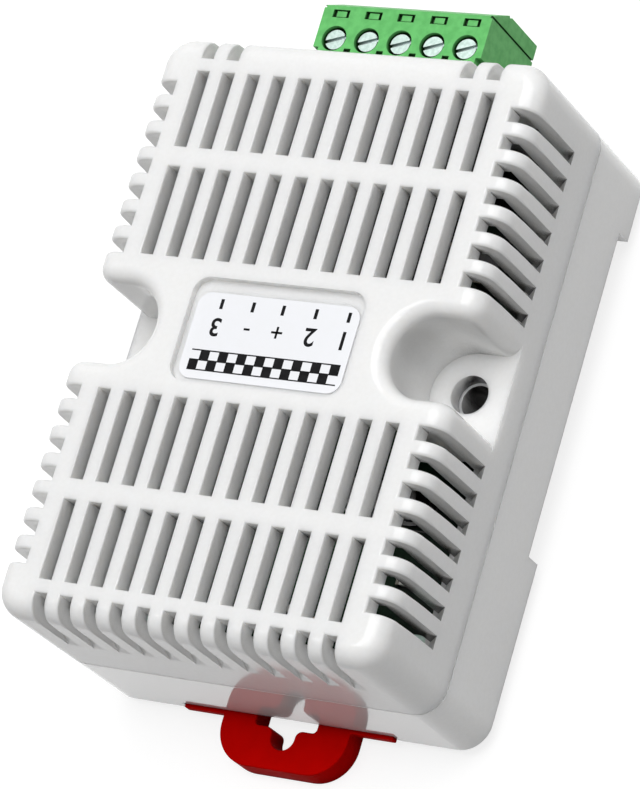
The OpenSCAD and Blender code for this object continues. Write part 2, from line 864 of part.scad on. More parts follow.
module terminal_plug() {
    seam = [0.8, 3, 2];
    groove = 0.25;
    color("mediumseagreen")
        difference() {
            union() {
                translate([-plug_w / 2, 0, 0])
                    rotate([90, 0, 90])
                        linear_extrude(plug_w)
                            plug_section();
                translate([-nose_w / 2, nose_end_y, nose_low])
                    cube([nose_w, nose_l + plug_gap + cut, nose_h]);
            }
            for (i = [0 : poles - 1])
                translate([pole_x(i), 0, 0])
                    pole_cuts();
            for (i = [0 : poles])
                translate([(i - poles / 2) * pole_pitch - seam[0] / 2, plug_back - cut, plug_top - seam[2]])
                    cube([seam[0], seam[1] + cut, seam[2] + cut]);
            for (m = [0, 1])
                mirror([m, 0, 0])
                    translate([plug_w / 2 - groove, slope_y - groove, plug_low - cut])
                        cube([groove + cut, groove, plug_h + 2 * cut]);
        }
}

// Spring sockets that take the pins, each with the tail that its screw presses on
module plug_contacts() {
    tail_y = socket_y + socket_l - cut;
    color("goldenrod")
        for (i = [0 : poles - 1])
            translate([pole_x(i), 0, 0])
                difference() {
                    union() {
                        translate([-socket_w / 2, socket_y, pin_z - socket_w / 2])
                            cube([socket_w, socket_l, socket_w]);
                        translate([-tail_w / 2, tail_y, tail_top - tail_t])
                            cube([tail_w, tail_end_y - tail_y, tail_t]);
                    }
                    translate([0, half_l, pin_z])
                        rotate([90, 0, 0])
                            cylinder(d = pin_d + 2 * loose_gap, h = nose_l);
                }
}

module terminal_screw(i) {
    tip_z = tail_top + home_gap;
    color("gainsboro")
        translate([pole_x(i), screw_y, 0])
            difference() {
                union() {
                    translate([0, 0, head_z - head_h])
                        cylinder(d = head_d, h = head_h);
                    translate([0, 0, tip_z])
                        cylinder(d = thread_d, h = head_z - tip_z - head_h / 2);
                }
                rotate(head_slot_angle)
                    translate([-head_d, -head_slot_w / 2, head_z - head_h / 3])
                        cube([2 * head_d, head_slot_w, head_h]);
            }
}

// Square cage that the screw draws up, so that the wire is held under the contact's tail
module wire_clamp(i) {
    clamp_d = chamber_d - 2 * clamp_gap;
    window_w = tail_w + 2 * clamp_gap;
    color("silver")
        translate([pole_x(i), screw_y, clamp_low])
            difference() {
                translate([-clamp_w / 2, -clamp_d / 2, 0])
                    cube([clamp_w, clamp_d, clamp_h]);
                translate([-window_w / 2, -clamp_d, clamp_sole])
                    cube([window_w, 2 * clamp_d, clamp_h - clamp_sole - clamp_roof]);
                cylinder(d = thread_d + 2 * loose_gap, h = clamp_h + cut);
            }
}

// Parts on the circuit board

// Moulded chip with a row of bent legs along each long side
module chip(size, legs, pitch) {
    color("dimgray")
        translate([-size[0] / 2, -size[1] / 2, chip_lift])
            cube([size[0], size[1], size[2] - chip_lift]);
    color("silver")
        for (i = [0 : legs / 2 - 1], m = [0, 1])
            mirror([0, m, 0])
                translate([(i - (legs / 2 - 1) / 2) * pitch - chip_leg[0] / 2, size[1] / 2, 0]) {
                    cube(chip_leg);
                    cube([chip_leg[0], chip_leg[2], size[2] / 2]);
                    translate([0, -chip_leg[2], size[2] / 2 - chip_leg[2]])
                        cube([chip_leg[0], 2 * chip_leg[2], chip_leg[2]]);
                }
}

// Two-ended surface part with metal caps
module end_cap_part(size) {
    translate([-size[0] / 2, -size[1] / 2, 0])
        cube(size);
    color("silver")
        for (s = [-1, 1])
            translate([s * (size[0] - end_cap) / 2 - end_cap / 2, -size[1] / 2 - cap_skin, 0])
                cube([end_cap, size[1] + 2 * cap_skin, size[2] + cap_skin]);
}

module humidity_sensor() {
    color("white")
        translate([sensor_at[0], sensor_at[1], board_top])
            difference() {
                translate([-sensor_size[0] / 2, -sensor_size[1] / 2, 0])
                    cube(sensor_size);
                translate([0, 0, sensor_size[2] / 2])
                    cylinder(d = sensor_window_d, h = sensor_size[2]);
            }
}

module microcontroller() {
    translate([controller_at[0], controller_at[1], board_top])
        chip(controller_size, controller_legs, controller_pitch);
}

module bus_transceiver() {
    translate([transceiver_at[0], transceiver_at[1], board_top])
        chip(bus_chip_size, bus_chip_legs, bus_chip_pitch);
}

module voltage_regulator() {
    translate([regulator_at[0], regulator_at[1], board_top])
        chip(bus_chip_size, bus_chip_legs, bus_chip_pitch);
}

module power_inductor() {
    color("darkslategray")
        translate([inductor_at[0], inductor_at[1], board_top])
            difference() {
                translate([-inductor_size[0] / 2, -inductor_size[1] / 2, 0])
                    cube(inductor_size);
                translate([0, 0, inductor_size[2] - inductor_dish[1]])
                    cylinder(d = inductor_dish[0], h = cut);
            }
}

// Low metal can with round ends
module crystal() {
    span = crystal_size[0] - crystal_size[1];
    color("silver")
        translate([crystal_at[0], crystal_at[1], board_top]) {
            translate([-span / 2, -crystal_size[1] / 2, 0])
                cube([span, crystal_size[1], crystal_size[2]]);
            for (s = [-1, 1])
                translate([s * span / 2, 0, 0])
                    cylinder(d = crystal_size[1], h = crystal_size[2]);
        }
}

// Aluminium can on a square plastic foot
module filter_capacitor() {
    translate([filter_at[0], filter_at[1], board_top]) {
        color("dimgray")
            translate([-can_foot[0] / 2, -can_foot[1] / 2, 0])
                cube(can_foot);
        color("silver")
            translate([0, 0, can_foot[2] / 2])
                cylinder(d = can_size[0], h = can_size[1]);
    }
}

module ceramic_capacitors() {
    color("tan")
        for (p = ceramics_at)
            translate([p[0], p[1], board_top])
                end_cap_part(ceramic_size);
}

module resistors() {
    color("black")
        for (p = resistors_at)
            translate([p[0], p[1], board_top])
                end_cap_part(resistor_size);
}

module protection_diodes() {
    color("black")
        for (p = diodes_at)
            translate([p[0], p[1], board_top])
                rotate(90)
                    end_cap_part(diode_size);
}

module status_light() {
    color("palegreen")
        translate([light_at[0], light_at[1], board_top]) {
            end_cap_part(light_size);
            translate([0, 0, light_size[2] / 2])
                cylinder(d = light_lens[0], h = light_lens[1]);
        }
}

cover();
base();
rail_clip();
label();
circuit_board();
board_screws();
terminal_header();
header_pins();
terminal_plug();
plug_contacts();
for (i = [0 : poles - 1]) {
    terminal_screw(i);
    wire_clamp(i);
}
humidity_sensor();
microcontroller();
bus_transceiver();
voltage_regulator();
power_inductor();
crystal();
filter_capacitor();
ceramic_capacitors();
resistors();
protection_diodes();
status_light();
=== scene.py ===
# %% [markdown]
# # A louvred temperature and humidity sensor
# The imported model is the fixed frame: every piece below is placed in its coordinates, in metres, and
# rides one of its bodies. The object lies on its back, so the grille face looks up (+Z), the screw
# terminals point to +Y and the red rail clip to -Y.

# %% Load the frame
import json
import math

import bmesh
import bpy
from mathutils import Matrix, Vector

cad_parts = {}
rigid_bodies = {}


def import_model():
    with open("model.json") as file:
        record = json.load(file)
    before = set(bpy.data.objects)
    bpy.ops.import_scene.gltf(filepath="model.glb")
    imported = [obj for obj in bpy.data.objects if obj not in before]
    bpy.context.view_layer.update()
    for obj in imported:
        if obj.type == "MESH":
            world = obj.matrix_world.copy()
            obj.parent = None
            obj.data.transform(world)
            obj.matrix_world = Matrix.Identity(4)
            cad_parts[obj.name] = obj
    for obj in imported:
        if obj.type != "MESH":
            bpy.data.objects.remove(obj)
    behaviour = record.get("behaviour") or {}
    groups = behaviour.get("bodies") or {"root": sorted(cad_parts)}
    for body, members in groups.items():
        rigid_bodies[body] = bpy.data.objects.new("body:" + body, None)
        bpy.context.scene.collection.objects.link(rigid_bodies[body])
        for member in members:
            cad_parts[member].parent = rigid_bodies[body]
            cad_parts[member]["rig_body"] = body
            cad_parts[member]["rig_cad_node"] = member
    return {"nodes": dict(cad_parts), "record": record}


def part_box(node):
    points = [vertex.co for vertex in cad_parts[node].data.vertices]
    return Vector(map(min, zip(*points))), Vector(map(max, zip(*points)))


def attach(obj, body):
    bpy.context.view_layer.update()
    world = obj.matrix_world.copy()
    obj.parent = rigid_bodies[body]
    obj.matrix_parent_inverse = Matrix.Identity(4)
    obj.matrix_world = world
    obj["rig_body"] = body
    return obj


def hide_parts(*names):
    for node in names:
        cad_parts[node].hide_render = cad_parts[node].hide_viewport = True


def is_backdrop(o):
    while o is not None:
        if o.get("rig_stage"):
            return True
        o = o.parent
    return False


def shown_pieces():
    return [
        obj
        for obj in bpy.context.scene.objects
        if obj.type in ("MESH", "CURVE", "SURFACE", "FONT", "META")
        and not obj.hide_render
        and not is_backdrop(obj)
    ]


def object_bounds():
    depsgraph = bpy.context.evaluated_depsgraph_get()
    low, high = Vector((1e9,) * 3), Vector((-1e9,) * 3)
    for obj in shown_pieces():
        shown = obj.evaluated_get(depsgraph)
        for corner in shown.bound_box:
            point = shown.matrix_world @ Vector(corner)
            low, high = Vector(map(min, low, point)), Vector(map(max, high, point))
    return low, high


for spare in list(bpy.data.objects):
    bpy.data.objects.remove(spare)
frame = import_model()
cad_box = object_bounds()
nodes = frame["nodes"]
slots = {s["node"]: s["material_slot"] for s in frame["record"]["subparts"]}
MM = 0.001
print("nodes:", len(nodes), "box in mm:", [round(v / MM, 2) for corner in cad_box for v in corner])

# %% [markdown]
# ## Camera
# The photograph was taken from above the right side with a long lens. A camera could be aimed at a
# target, but the photograph is also rolled. So its place and its three axes come from a fit of the grille
# slots and case corners, and are set as they are.

# %% Camera
SENSOR_MM = 36
LENS_MM = 207.02
camera_place = Vector((0.235513, -0.134106, 0.394879))
right_axis = Vector((0.85924829, 0.27323948, -0.43247262))
up_axis = Vector((-0.10077621, 0.91924762, 0.38056271))
back_axis = Vector((0.50153418, -0.2834149, 0.81739798))
camera_data = bpy.data.cameras.new("photo_camera")
camera_data.sensor_width = SENSOR_MM
camera_data.lens = LENS_MM
camera_data.clip_start = 0.01
camera_data.clip_end = 10
camera = bpy.data.objects.new("photo_camera", camera_data)
bpy.context.scene.collection.objects.link(camera)
attitude = Matrix((right_axis, up_axis, back_axis)).transposed().to_4x4()
camera.matrix_world = Matrix.Translation(camera_place) @ attitude
bpy.context.scene.camera = camera
bpy.context.scene.view_settings.view_transform = "Standard"
print("camera at", [round(v, 3) for v in camera.location])

# %% [markdown]
# ## Floor
# The object lies on a pale paper sweep, as in a small product studio. The floor's own colour gives its
# shadow and the light that it throws back. What the camera and mirrors see of it is lifted to white by a
# plain emission, so that no extra light has to fall on the object.

# %% Floor and backdrop
def material_nodes(name):
    """A new material with an empty node tree."""
    made = bpy.data.materials.new(name)
    made.use_nodes = True
    made.node_tree.nodes.clear()
    return made, made.node_tree


def add_node(tree, kind, links=None, **values):
    """One node: plain values go on its sockets or settings, and links join other nodes' sockets to it."""
    node = tree.nodes.new(kind)
    for key, value in values.items():
        if key in node.inputs:
            node.inputs[key].default_value = value
        else:
            setattr(node, key, value)
    for key, source in (links or {}).items():
        tree.links.new(source, node.inputs[key])
    return node


def seen_directly(tree):
    """1 for camera, mirror and glass rays, 0 for the light that spreads through the scene."""
    path = add_node(tree, "ShaderNodeLightPath")
    first = add_node(tree, "ShaderNodeMath", operation="MAXIMUM",
                     links={0: path.outputs["Is Camera Ray"], 1: path.outputs["Is Glossy Ray"]})
    return add_node(tree, "ShaderNodeMath", operation="MAXIMUM",
                    links={0: first.outputs[0], 1: path.outputs["Is Transmission Ray"]}).outputs[0]


def grey(level):
    """A grey as a shader colour."""
    return (level, level, level, 1)


FLOOR_REACH = 3.0
FLOOR_SPREAD, FLOOR_SEEN, FLOOR_LIFT = 0.46, 0.3, 0.8
floor_z = cad_box[0].z
floor_mesh = bpy.data.meshes.new("floor")
corners = [(x * FLOOR_REACH, y * FLOOR_REACH, floor_z) for x, y in ((-1, -1), (1, -1), (1, 1), (-1, 1))]
floor_mesh.from_pydata(corners, [], [(0, 1, 2, 3)])
floor = bpy.data.objects.new("floor", floor_mesh)
bpy.context.scene.collection.objects.link(floor)
floor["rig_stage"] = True
paper, tree = material_nodes("pale_paper_sweep")
spread = add_node(tree, "ShaderNodeBsdfDiffuse", Color=grey(FLOOR_SPREAD))
seen = add_node(tree, "ShaderNodeBsdfDiffuse", Color=grey(FLOOR_SEEN))
lift = add_node(tree, "ShaderNodeEmission", Color=grey(1), Strength=FLOOR_LIFT)
lifted = add_node(tree, "ShaderNodeAddShader", links={0: seen.outputs[0], 1: lift.outputs[0]})
both = add_node(tree, "ShaderNodeMixShader",
                links={0: seen_directly(tree), 1: spread.outputs[0], 2: lifted.outputs[0]})
add_node(tree, "ShaderNodeOutputMaterial", links={"Surface": both.outputs[0]})
floor_mesh.materials.append(paper)
print("floor at", round(floor_z / MM, 2), "mm")

# %% [markdown]
# ## Light
# One large square softbox hangs above the object, a little towards the terminals. The face is then the
# brightest side, the walls fall off softly and the slots keep their depth; several small lamps would give
# hard shadows in each slot. The air adds an even fill, and camera, mirror and glass rays see plain white
# instead of it.

# %% Lights
AIR_FILL, AIR_SEEN = 0.215, 1.0
world = bpy.data.worlds.new("studio_air")
bpy.context.scene.world = world
world.use_nodes = True
tree = world.node_tree
tree.nodes.clear()
air = add_node(tree, "ShaderNodeBackground", Color=grey(1), Strength=AIR_FILL)
white = add_node(tree, "ShaderNodeBackground", Color=grey(1), Strength=AIR_SEEN)
sky = add_node(tree, "ShaderNodeMixShader",
               links={0: seen_directly(tree), 1: air.outputs[0], 2: white.outputs[0]})
add_node(tree, "ShaderNodeOutputWorld", links={"Surface": sky.outputs[0]})


def softbox(name, place, aim, width, power):
    """A square area lamp at place, turned to aim."""
    data = bpy.data.lights.new(name, "AREA")
    data.shape = "SQUARE"
    data.size = width
    data.energy = power
    lamp = bpy.data.objects.new(name, data)
    bpy.context.scene.collection.objects.link(lamp)
    lamp.location = place
    lamp.rotation_mode = "QUATERNION"
    lamp.rotation_quaternion = (Vector(aim) - Vector(place)).to_track_quat("-Z", "Y")
    print(name, "at", place, "with", power, "W")


softbox("overhead_softbox", place=(0.07, 0.2, 0.9), aim=(0, 0, 0), width=0.9, power=9.3)

# %% [markdown]
# ## Shared effect: moulded grain
# A spark-eroded mould leaves a fine texture on plastic, and the melt leaves broad patches of slightly
# different gloss. Two noises of different size give both. They return on nearly every surface, so they
# are one node group that gives plain values, and each material decides where these go.

# %% Grain group
def new_group(name, inputs, outputs):
    """An empty shader node group with named sockets, and its two end nodes."""
    group = bpy.data.node_groups.new(name, "ShaderNodeTree")
    for label, value in inputs:
        socket = group.interface.new_socket(label, in_out="INPUT", socket_type="NodeSocketFloat")
        socket.default_value = value
    for label in outputs:
        group.interface.new_socket(label, in_out="OUTPUT", socket_type="NodeSocketFloat")
    return group, group.nodes.new("NodeGroupInput"), group.nodes.new("NodeGroupOutput")


def grain_group(patch_ratio=9):
    """Fine grain as a height, and broad soft patches, both 0 to 1, from the frame's own coordinates."""
    group, entry, leave = new_group("moulded_grain", [("Size in mm", 0.3)], ["Height", "Patches"])
    where = add_node(group, "ShaderNodeTexCoord").outputs["Object"]
    per_metre = add_node(group, "ShaderNodeMath", operation="DIVIDE", links={1: entry.outputs[0]})
    per_metre.inputs[0].default_value = 1 / MM
    wide_scale = add_node(group, "ShaderNodeMath", operation="DIVIDE", links={0: per_metre.outputs[0]})
    wide_scale.inputs[1].default_value = patch_ratio
    fine = add_node(group, "ShaderNodeTexNoise", Detail=3,
                    links={"Vector": where, "Scale": per_metre.outputs[0]})
    wide = add_node(group, "ShaderNodeTexNoise", Detail=2,
                    links={"Vector": where, "Scale": wide_scale.outputs[0]})
    group.links.new(fine.outputs[0], leave.inputs["Height"])
    group.links.new(wide.outputs[0], leave.inputs["Patches"])
    return group


GRAIN = grain_group()
print("effect group:", GRAIN.name)

# %% [markdown]
# ## Shared effect: painted crevice shade
# The shade that falls in slots and hollows is painted into the base colour. Ambient occlusion tells how
# closed in a point is, so no mask has to be painted. Walls that face away from the light, towards the clip
# end, count as more closed and get more painted shade. A second look that sees only the piece itself finds
# the walls of wide hollows, such as the scooped screw notches, and paints them a shade darker.

# %% Crevice group
def span(tree, source, low, high, out_low, out_high, smooth=False):
    """The source's values from low to high, spread over out_low to out_high."""
    node = add_node(tree, "ShaderNodeMapRange", links={"Value": source})
    node.interpolation_type = "SMOOTHSTEP" if smooth else "LINEAR"
    for key, value in zip(("From Min", "From Max", "To Min", "To Max"), (low, high, out_low, out_high)):
        node.inputs[key].default_value = value
    return node.outputs[0]


def times(tree, one, two, **settings):
    """The product of two sockets."""
    node = add_node(tree, "ShaderNodeMath", operation="MULTIPLY", links={0: one, 1: two}, **settings)
    return node.outputs[0]


def in_metres(group, length):
    """A group's input in mm as a length in metres."""
    node = add_node(group, "ShaderNodeMath", operation="MULTIPLY", links={0: length})
    node.inputs[1].default_value = MM
    return node.outputs[0]


def facing(group, direction):
    """How far the surface faces a direction of the frame, from -1 to 1."""
    normal = add_node(group, "ShaderNodeTexCoord").outputs["Normal"]
    node = add_node(group, "ShaderNodeVectorMath", operation="DOT_PRODUCT", links={0: normal})
    node.inputs[1].default_value = direction
    return node.outputs["Value"]


# Painted shade: Open and Hollow tell where the base colour is darkened because shade falls there.
def crevice_group():
    """Open is 1 in the open and 0 deep in a slot, within a reach; walls that face the clip end lose Lee.

    Hollow is 1 on steep walls of the piece's own wide hollows, and 0 in narrow slots and on the outside."""
    group, entry, leave = new_group("crevice_shade", [("Reach in mm", 4.0), ("Lee", 0.0)],
                                    ["Open", "Hollow"])
    reach = in_metres(group, entry.outputs[0])
    around = add_node(group, "ShaderNodeAmbientOcclusion", samples=16,
                      links={"Distance": reach}).outputs["AO"]
    # Walls that face the clip end, away from the light, count as more closed, so they get more painted
    # shade.
    lost = times(group, facing(group, (0, -1, 0)), entry.outputs[1], use_clamp=True)
    left = add_node(group, "ShaderNodeMath", operation="SUBTRACT", links={0: around, 1: lost})
    group.links.new(left.outputs[0], leave.inputs["Open"])
    # The piece's own occlusion finds the steep walls of its wide hollows, which get a painted shade.
    own = add_node(group, "ShaderNodeAmbientOcclusion", samples=8, only_local=True,
                   links={"Distance": reach}).outputs["AO"]
    deep = span(group, own, 0.4, 0.85, 1, 0, smooth=True)
    roomy = span(group, around, 0.4, 0.55, 0, 1, smooth=True)
    steep = span(group, facing(group, (0, 0, 1)), 0.5, 0.9, 1, 0, smooth=True)
    group.links.new(times(group, times(group, deep, roomy), steep), leave.inputs["Hollow"])
    return group


CREVICE = crevice_group()
print("effect group:", CREVICE.name)

# %% [markdown]
# ## Shared effect: edge wear and painted highlight
# Hands and tools polish the corners first; on the red clip the lighter edge is a painted highlight instead.
# Where the rounded normal of a Bevel node differs from the true one, there is an edge; a noise breaks the
# line up, because wear is never even.

# %% Edge group
def edge_group():
    """1 on outer edges and 0 on flats, broken up by noise so that the wear is uneven."""
    group, entry, leave = new_group("edge_wear_and_highlight", [("Width in mm", 0.25)], ["Worn"])
    radius = in_metres(group, entry.outputs[0])
    round_normal = add_node(group, "ShaderNodeBevel", samples=6, links={"Radius": radius})
    flat_normal = add_node(group, "ShaderNodeNewGeometry").outputs["Normal"]
    same = add_node(group, "ShaderNodeVectorMath", operation="DOT_PRODUCT",
                    links={0: round_normal.outputs[0], 1: flat_normal})
    bent = span(group, same.outputs["Value"], 0.995, 0.8, 0, 1)
    where = add_node(group, "ShaderNodeTexCoord").outputs["Object"]
    patchy = add_node(group, "ShaderNodeTexNoise", Scale=900, Detail=4, links={"Vector": where})
    group.links.new(times(group, bent, patchy.outputs[0]), leave.inputs["Worn"])
    return group


EDGES = edge_group()
print("effect group:", EDGES.name)

# %% [markdown]
# ## Finishes
# One recipe serves most of the parts: a base colour with painted shade in crevices and lighter edges, which
# are wear on most parts and a painted highlight on the red clip, a roughness that wanders with the mould's
# patches, and the grain as a very low relief. What differs from one real material to the next are the
# numbers.

# %% Finish recipe
def use_group(tree, group, **values):
    """An instance of a shared effect, with its plain values."""
    node = tree.nodes.new("ShaderNodeGroup")
    node.node_tree = group
    for socket, value in zip(node.inputs, values.values()):
        socket.default_value = value
    return node


def blend(tree, factor, first, second):
    """Two colours, or sockets of colours, mixed by a factor."""
    node = tree.nodes.new("ShaderNodeMix")
    node.data_type = "RGBA"
    for socket, value in zip((node.inputs[0], node.inputs[6], node.inputs[7]), (factor, first, second)):
        if isinstance(value, bpy.types.NodeSocket):
            tree.links.new(value, socket)
        else:
            socket.default_value = value if isinstance(value, float) else (*value, 1)
    return node.outputs[2]


def close_material(tree, shade, gloss, height, relief_mm, **shader):
    """Ends a material: one surface with a colour, a roughness and a height in low relief."""
    relief = add_node(tree, "ShaderNodeBump", Strength=1.0, Distance=relief_mm * MM,
                      links={"Height": height})
    surface = add_node(tree, "ShaderNodeBsdfPrincipled", **shader,
                       links={"Base Color": shade, "Roughness": gloss, "Normal": relief.outputs[0]})
    add_node(tree, "ShaderNodeOutputMaterial", links={"Surface": surface.outputs[0]})


def finish(name, color, tint, rough, gloom=None, open_from=(0.05, 0.85), reach_mm=4.0, lee=0.0, hollow=None,
           wear_and_highlight=None, edge_mm=0.25, edge_most=0.3, grain_mm=0.3, relief_mm=0.004, **shader):
    """A solid material: a colour and a tint in patches, lighter edges, painted crevice shade and grain in
    low relief.
    """
    made, tree = material_nodes(name)
    grain = use_group(tree, GRAIN, size=grain_mm)
    shade = blend(tree, span(tree, grain.outputs["Patches"], 0.35, 0.65, 0, 1), color, tint)
    # Lighter edges: wear on most parts, and a painted highlight on the red clip.
    if wear_and_highlight:
        wear = use_group(tree, EDGES, width=edge_mm)
        shade = blend(tree, span(tree, wear.outputs["Worn"], 0.15, 0.7, 0, edge_most), shade, wear_and_highlight)
    # Painted shade: the base colour goes dark in crevices, on walls facing away from the light and in wide
    # hollows.
    if gloom:
        crevice = use_group(tree, CREVICE, reach=reach_mm, lee=lee)
        if hollow:
            shade = blend(tree, crevice.outputs["Hollow"], shade, hollow)
        shade = blend(tree, span(tree, crevice.outputs["Open"], *open_from, 0, 1, smooth=True), gloom, shade)
    gloss = span(tree, grain.outputs["Patches"], 0.3, 0.7, *rough)
    close_material(tree, shade, gloss, grain.outputs["Height"], relief_mm, **shader)
    return made


print("finish recipe on:", [g.name for g in (GRAIN, CREVICE, EDGES)])

# %% [markdown]
# The case is a white styrene blend. Light goes a little way into it, which fills the slots from the side,
# so it gets subsurface scattering under a glossy coat that mirrors the clip faintly in the end wall. The
# base is the glossier of the two halves. The clip is a tougher red plastic, slightly greasy to the touch,
# and the terminal is the usual green polyamide. All of them get painted shade in their crevices. The header
# sits inside the case, so its painted shade reaches farther and starts sooner; the board, its print and its
# copper share these two numbers.

# %% Case, clip and terminal plastics
SPECULAR = "Specular IOR Level"
MILKY = {SPECULAR: 0.1, "Subsurface Weight": 1.0, "Subsurface Scale": 2.0 * MM,
         "Subsurface Radius": (1.0, 0.97, 0.93)}
# The case's painted shade goes near black deep in the slots, and more of it falls on walls facing away from
# the light.
WHITE = dict(color=(0.855, 0.855, 0.85), tint=(0.838, 0.837, 0.83), gloom=(0.012, 0.009, 0.008),
             open_from=(0.0, 0.12), reach_mm=20.0, lee=0.15, grain_mm=0.05, relief_mm=0.0006, **MILKY)
# Painted shade for what lies inside the case: it reaches farther and starts sooner.
SHUT_IN = dict(open_from=(0.3, 0.9), reach_mm=20.0)
glossy_white = finish("white_base_moulding", rough=(0.14, 0.2), **WHITE,
                      **{"Coat Weight": 1.0, "Coat Roughness": 0.04})
header_green = finish("green_header_moulding", (0.1, 0.4, 0.11), rough=(0.4, 0.5), tint=(0.09, 0.35, 0.1),
                      gloom=(0.0008, 0.002, 0.0008), grain_mm=0.1, **SHUT_IN)
finishes = {
    # The cover also gets a painted shade on the steep walls of its screw notches.
    "white_plastic": finish("white_moulding", rough=(0.32, 0.4), hollow=(0.58, 0.58, 0.575), **WHITE,
                            **{"Coat Weight": 0.7, "Coat Roughness": 0.08}),
    # The clip's lighter edges are a painted highlight, and its crevices get painted shade.
    "red_plastic": finish("red_clip_moulding", (0.58, 0.0015, 0.0008), rough=(0.34, 0.46),
                          tint=(0.53, 0.0015, 0.0008), gloom=(0.08, 0, 0), wear_and_highlight=(0.7, 0.01, 0.008),
                          reach_mm=3.0, **{SPECULAR: 0.002}),
    "green_plastic": finish("green_terminal_moulding", (0.14, 0.52, 0.15), rough=(0.4, 0.5),
                            tint=(0.11, 0.44, 0.12), gloom=(0.004, 0.025, 0.004), open_from=(0.2, 0.9),
                            wear_and_highlight=(0.3, 0.65, 0.3), reach_mm=2.0, grain_mm=0.1, edge_mm=0.15,
                            **{SPECULAR: 0.2}),
}
print("case plastics:", sorted(finishes))

# %% [markdown]
# The label is a smooth printed film. The parts of the board are black epoxy, pale or brown fired ceramic
# and clear resin. These parts are small, so their painted shade reaches less far than that of the case.

# %% Film, epoxy, ceramic and resin
finishes.update({
    "label_film": finish("printed_film", (0.83, 0.84, 0.87), rough=(0.3, 0.36), tint=(0.82, 0.83, 0.855),
                         grain_mm=0.12, relief_mm=0.0015),
    "chip_epoxy": finish("moulded_epoxy", (0.028, 0.028, 0.03), rough=(0.5, 0.62),
                         tint=(0.036, 0.036, 0.038), gloom=(0.005, 0.005, 0.005), wear_and_highlight=(0.12, 0.12, 0.12),
                         grain_mm=0.08, edge_mm=0.1),
    "sensor_body": finish("sensor_ceramic", (0.78, 0.77, 0.73), rough=(0.55, 0.7), tint=(0.72, 0.71, 0.66),
                          gloom=(0.05, 0.05, 0.05), grain_mm=0.1, reach_mm=1.5),
    "fired_ceramic": finish("fired_ceramic", (0.52, 0.38, 0.24), rough=(0.35, 0.5), tint=(0.46, 0.33, 0.2),
                            gloom=(0.06, 0.04, 0.02), wear_and_highlight=(0.62, 0.5, 0.36), grain_mm=0.1, edge_mm=0.1,
                            reach_mm=1.5),
    "light_resin": finish("clear_resin", (0.6, 0.8, 0.58), rough=(0.12, 0.2), tint=(0.68, 0.85, 0.62),
                          grain_mm=0.15, relief_mm=0.001, **{"Transmission Weight": 0.35}),
})
print("finishes so far:", sorted(finishes))

# %% [markdown]
# The metals are thin plating over cheap cores: bright zinc with a bluish tinge on the steel screws, soft
# tin over brass on the contacts, and drawn aluminium on the cans of the board. Their tint wanders with
# handling, and painted shade darkens their crevices and what lies deep in the case.

# %% Metals
finishes.update({
    "zinc_steel": finish("bright_zinc", (0.49, 0.6, 0.56), rough=(0.3, 0.42), tint=(0.36, 0.46, 0.42),
                         gloom=(0.38, 0.43, 0.43), wear_and_highlight=(0.9, 0.9, 0.92), grain_mm=0.05, relief_mm=0.004,
                         reach_mm=1.0, edge_mm=0.12, edge_most=0.6, Metallic=1.0),
    "tinned_brass": finish("tinned_brass", (0.74, 0.71, 0.64), rough=(0.3, 0.44), tint=(0.66, 0.62, 0.52),
                           gloom=(0.006, 0.005, 0.003), open_from=(0.2, 0.8), wear_and_highlight=(0.78, 0.62, 0.3),
                           grain_mm=0.15, relief_mm=0.003, reach_mm=20.0, edge_mm=0.12, Metallic=1.0),
    "metal_can": finish("drawn_can", (0.76, 0.76, 0.77), rough=(0.24, 0.36), tint=(0.7, 0.7, 0.72),
                        gloom=(0.006, 0.006, 0.006), open_from=(0.2, 0.8), wear_and_highlight=(0.88, 0.88, 0.88),
                        grain_mm=0.18, relief_mm=0.002, reach_mm=20.0, edge_mm=0.15, Metallic=1.0),
})
print("finishes so far:", sorted(finishes))

# %% [markdown]
# The board is woven glass under a green lacquer, and the weave shows through faintly. Two crossed waves
# about 0.75 mm apart make it, with no image. The printed inks and the lacquered copper follow the common
# recipe.

# %% Board laminate, inks and copper
def laminate():
    """Solder mask over woven glass: two crossed waves give the weave that shows through the lacquer."""
    made, tree = material_nodes("board_laminate")
    where = add_node(tree, "ShaderNodeTexCoord").outputs["Object"]
    threads = [add_node(tree, "ShaderNodeTexWave", Scale=420, Distortion=0.6, bands_direction=axis,
                        links={"Vector": where}).outputs["Fac"] for axis in ("X", "Y")]
    weave = times(tree, *threads)
    shade = blend(tree, span(tree, weave, 0, 1, 0, 1), (0.012, 0.085, 0.03), (0.02, 0.13, 0.05))
    # Painted shade: the laminate goes near black where it lies deep in the case.
    crevice = use_group(tree, CREVICE, reach=SHUT_IN["reach_mm"])
    lit = span(tree, crevice.outputs["Open"], *SHUT_IN["open_from"], 0, 1, smooth=True)
    shade = blend(tree, lit, (0.0008, 0.002, 0.001), shade)
    gloss = span(tree, weave, 0, 1, 0.28, 0.36)
    close_material(tree, shade, gloss, weave, relief_mm=0.003, **{SPECULAR: 0.12})
    return made


finishes["board_laminate"] = laminate()
ink = finish("black_print", (0.006, 0.006, 0.007), rough=(0.4, 0.5), tint=(0.012, 0.012, 0.013),
             grain_mm=0.1, relief_mm=0.001, **{SPECULAR: 0.05})
chalk = finish("white_print", (0.75, 0.76, 0.74), rough=(0.6, 0.7), tint=(0.66, 0.68, 0.66), grain_mm=0.08,
               gloom=(0.01, 0.011, 0.01), relief_mm=0.002, **SHUT_IN)
copper = finish("masked_copper", (0.05, 0.24, 0.08), rough=(0.3, 0.38), tint=(0.045, 0.21, 0.07),
                grain_mm=0.2, gloom=(0.0008, 0.002, 0.001), relief_mm=0.002, **SHUT_IN)
print("finishes by slot:", len(finishes))

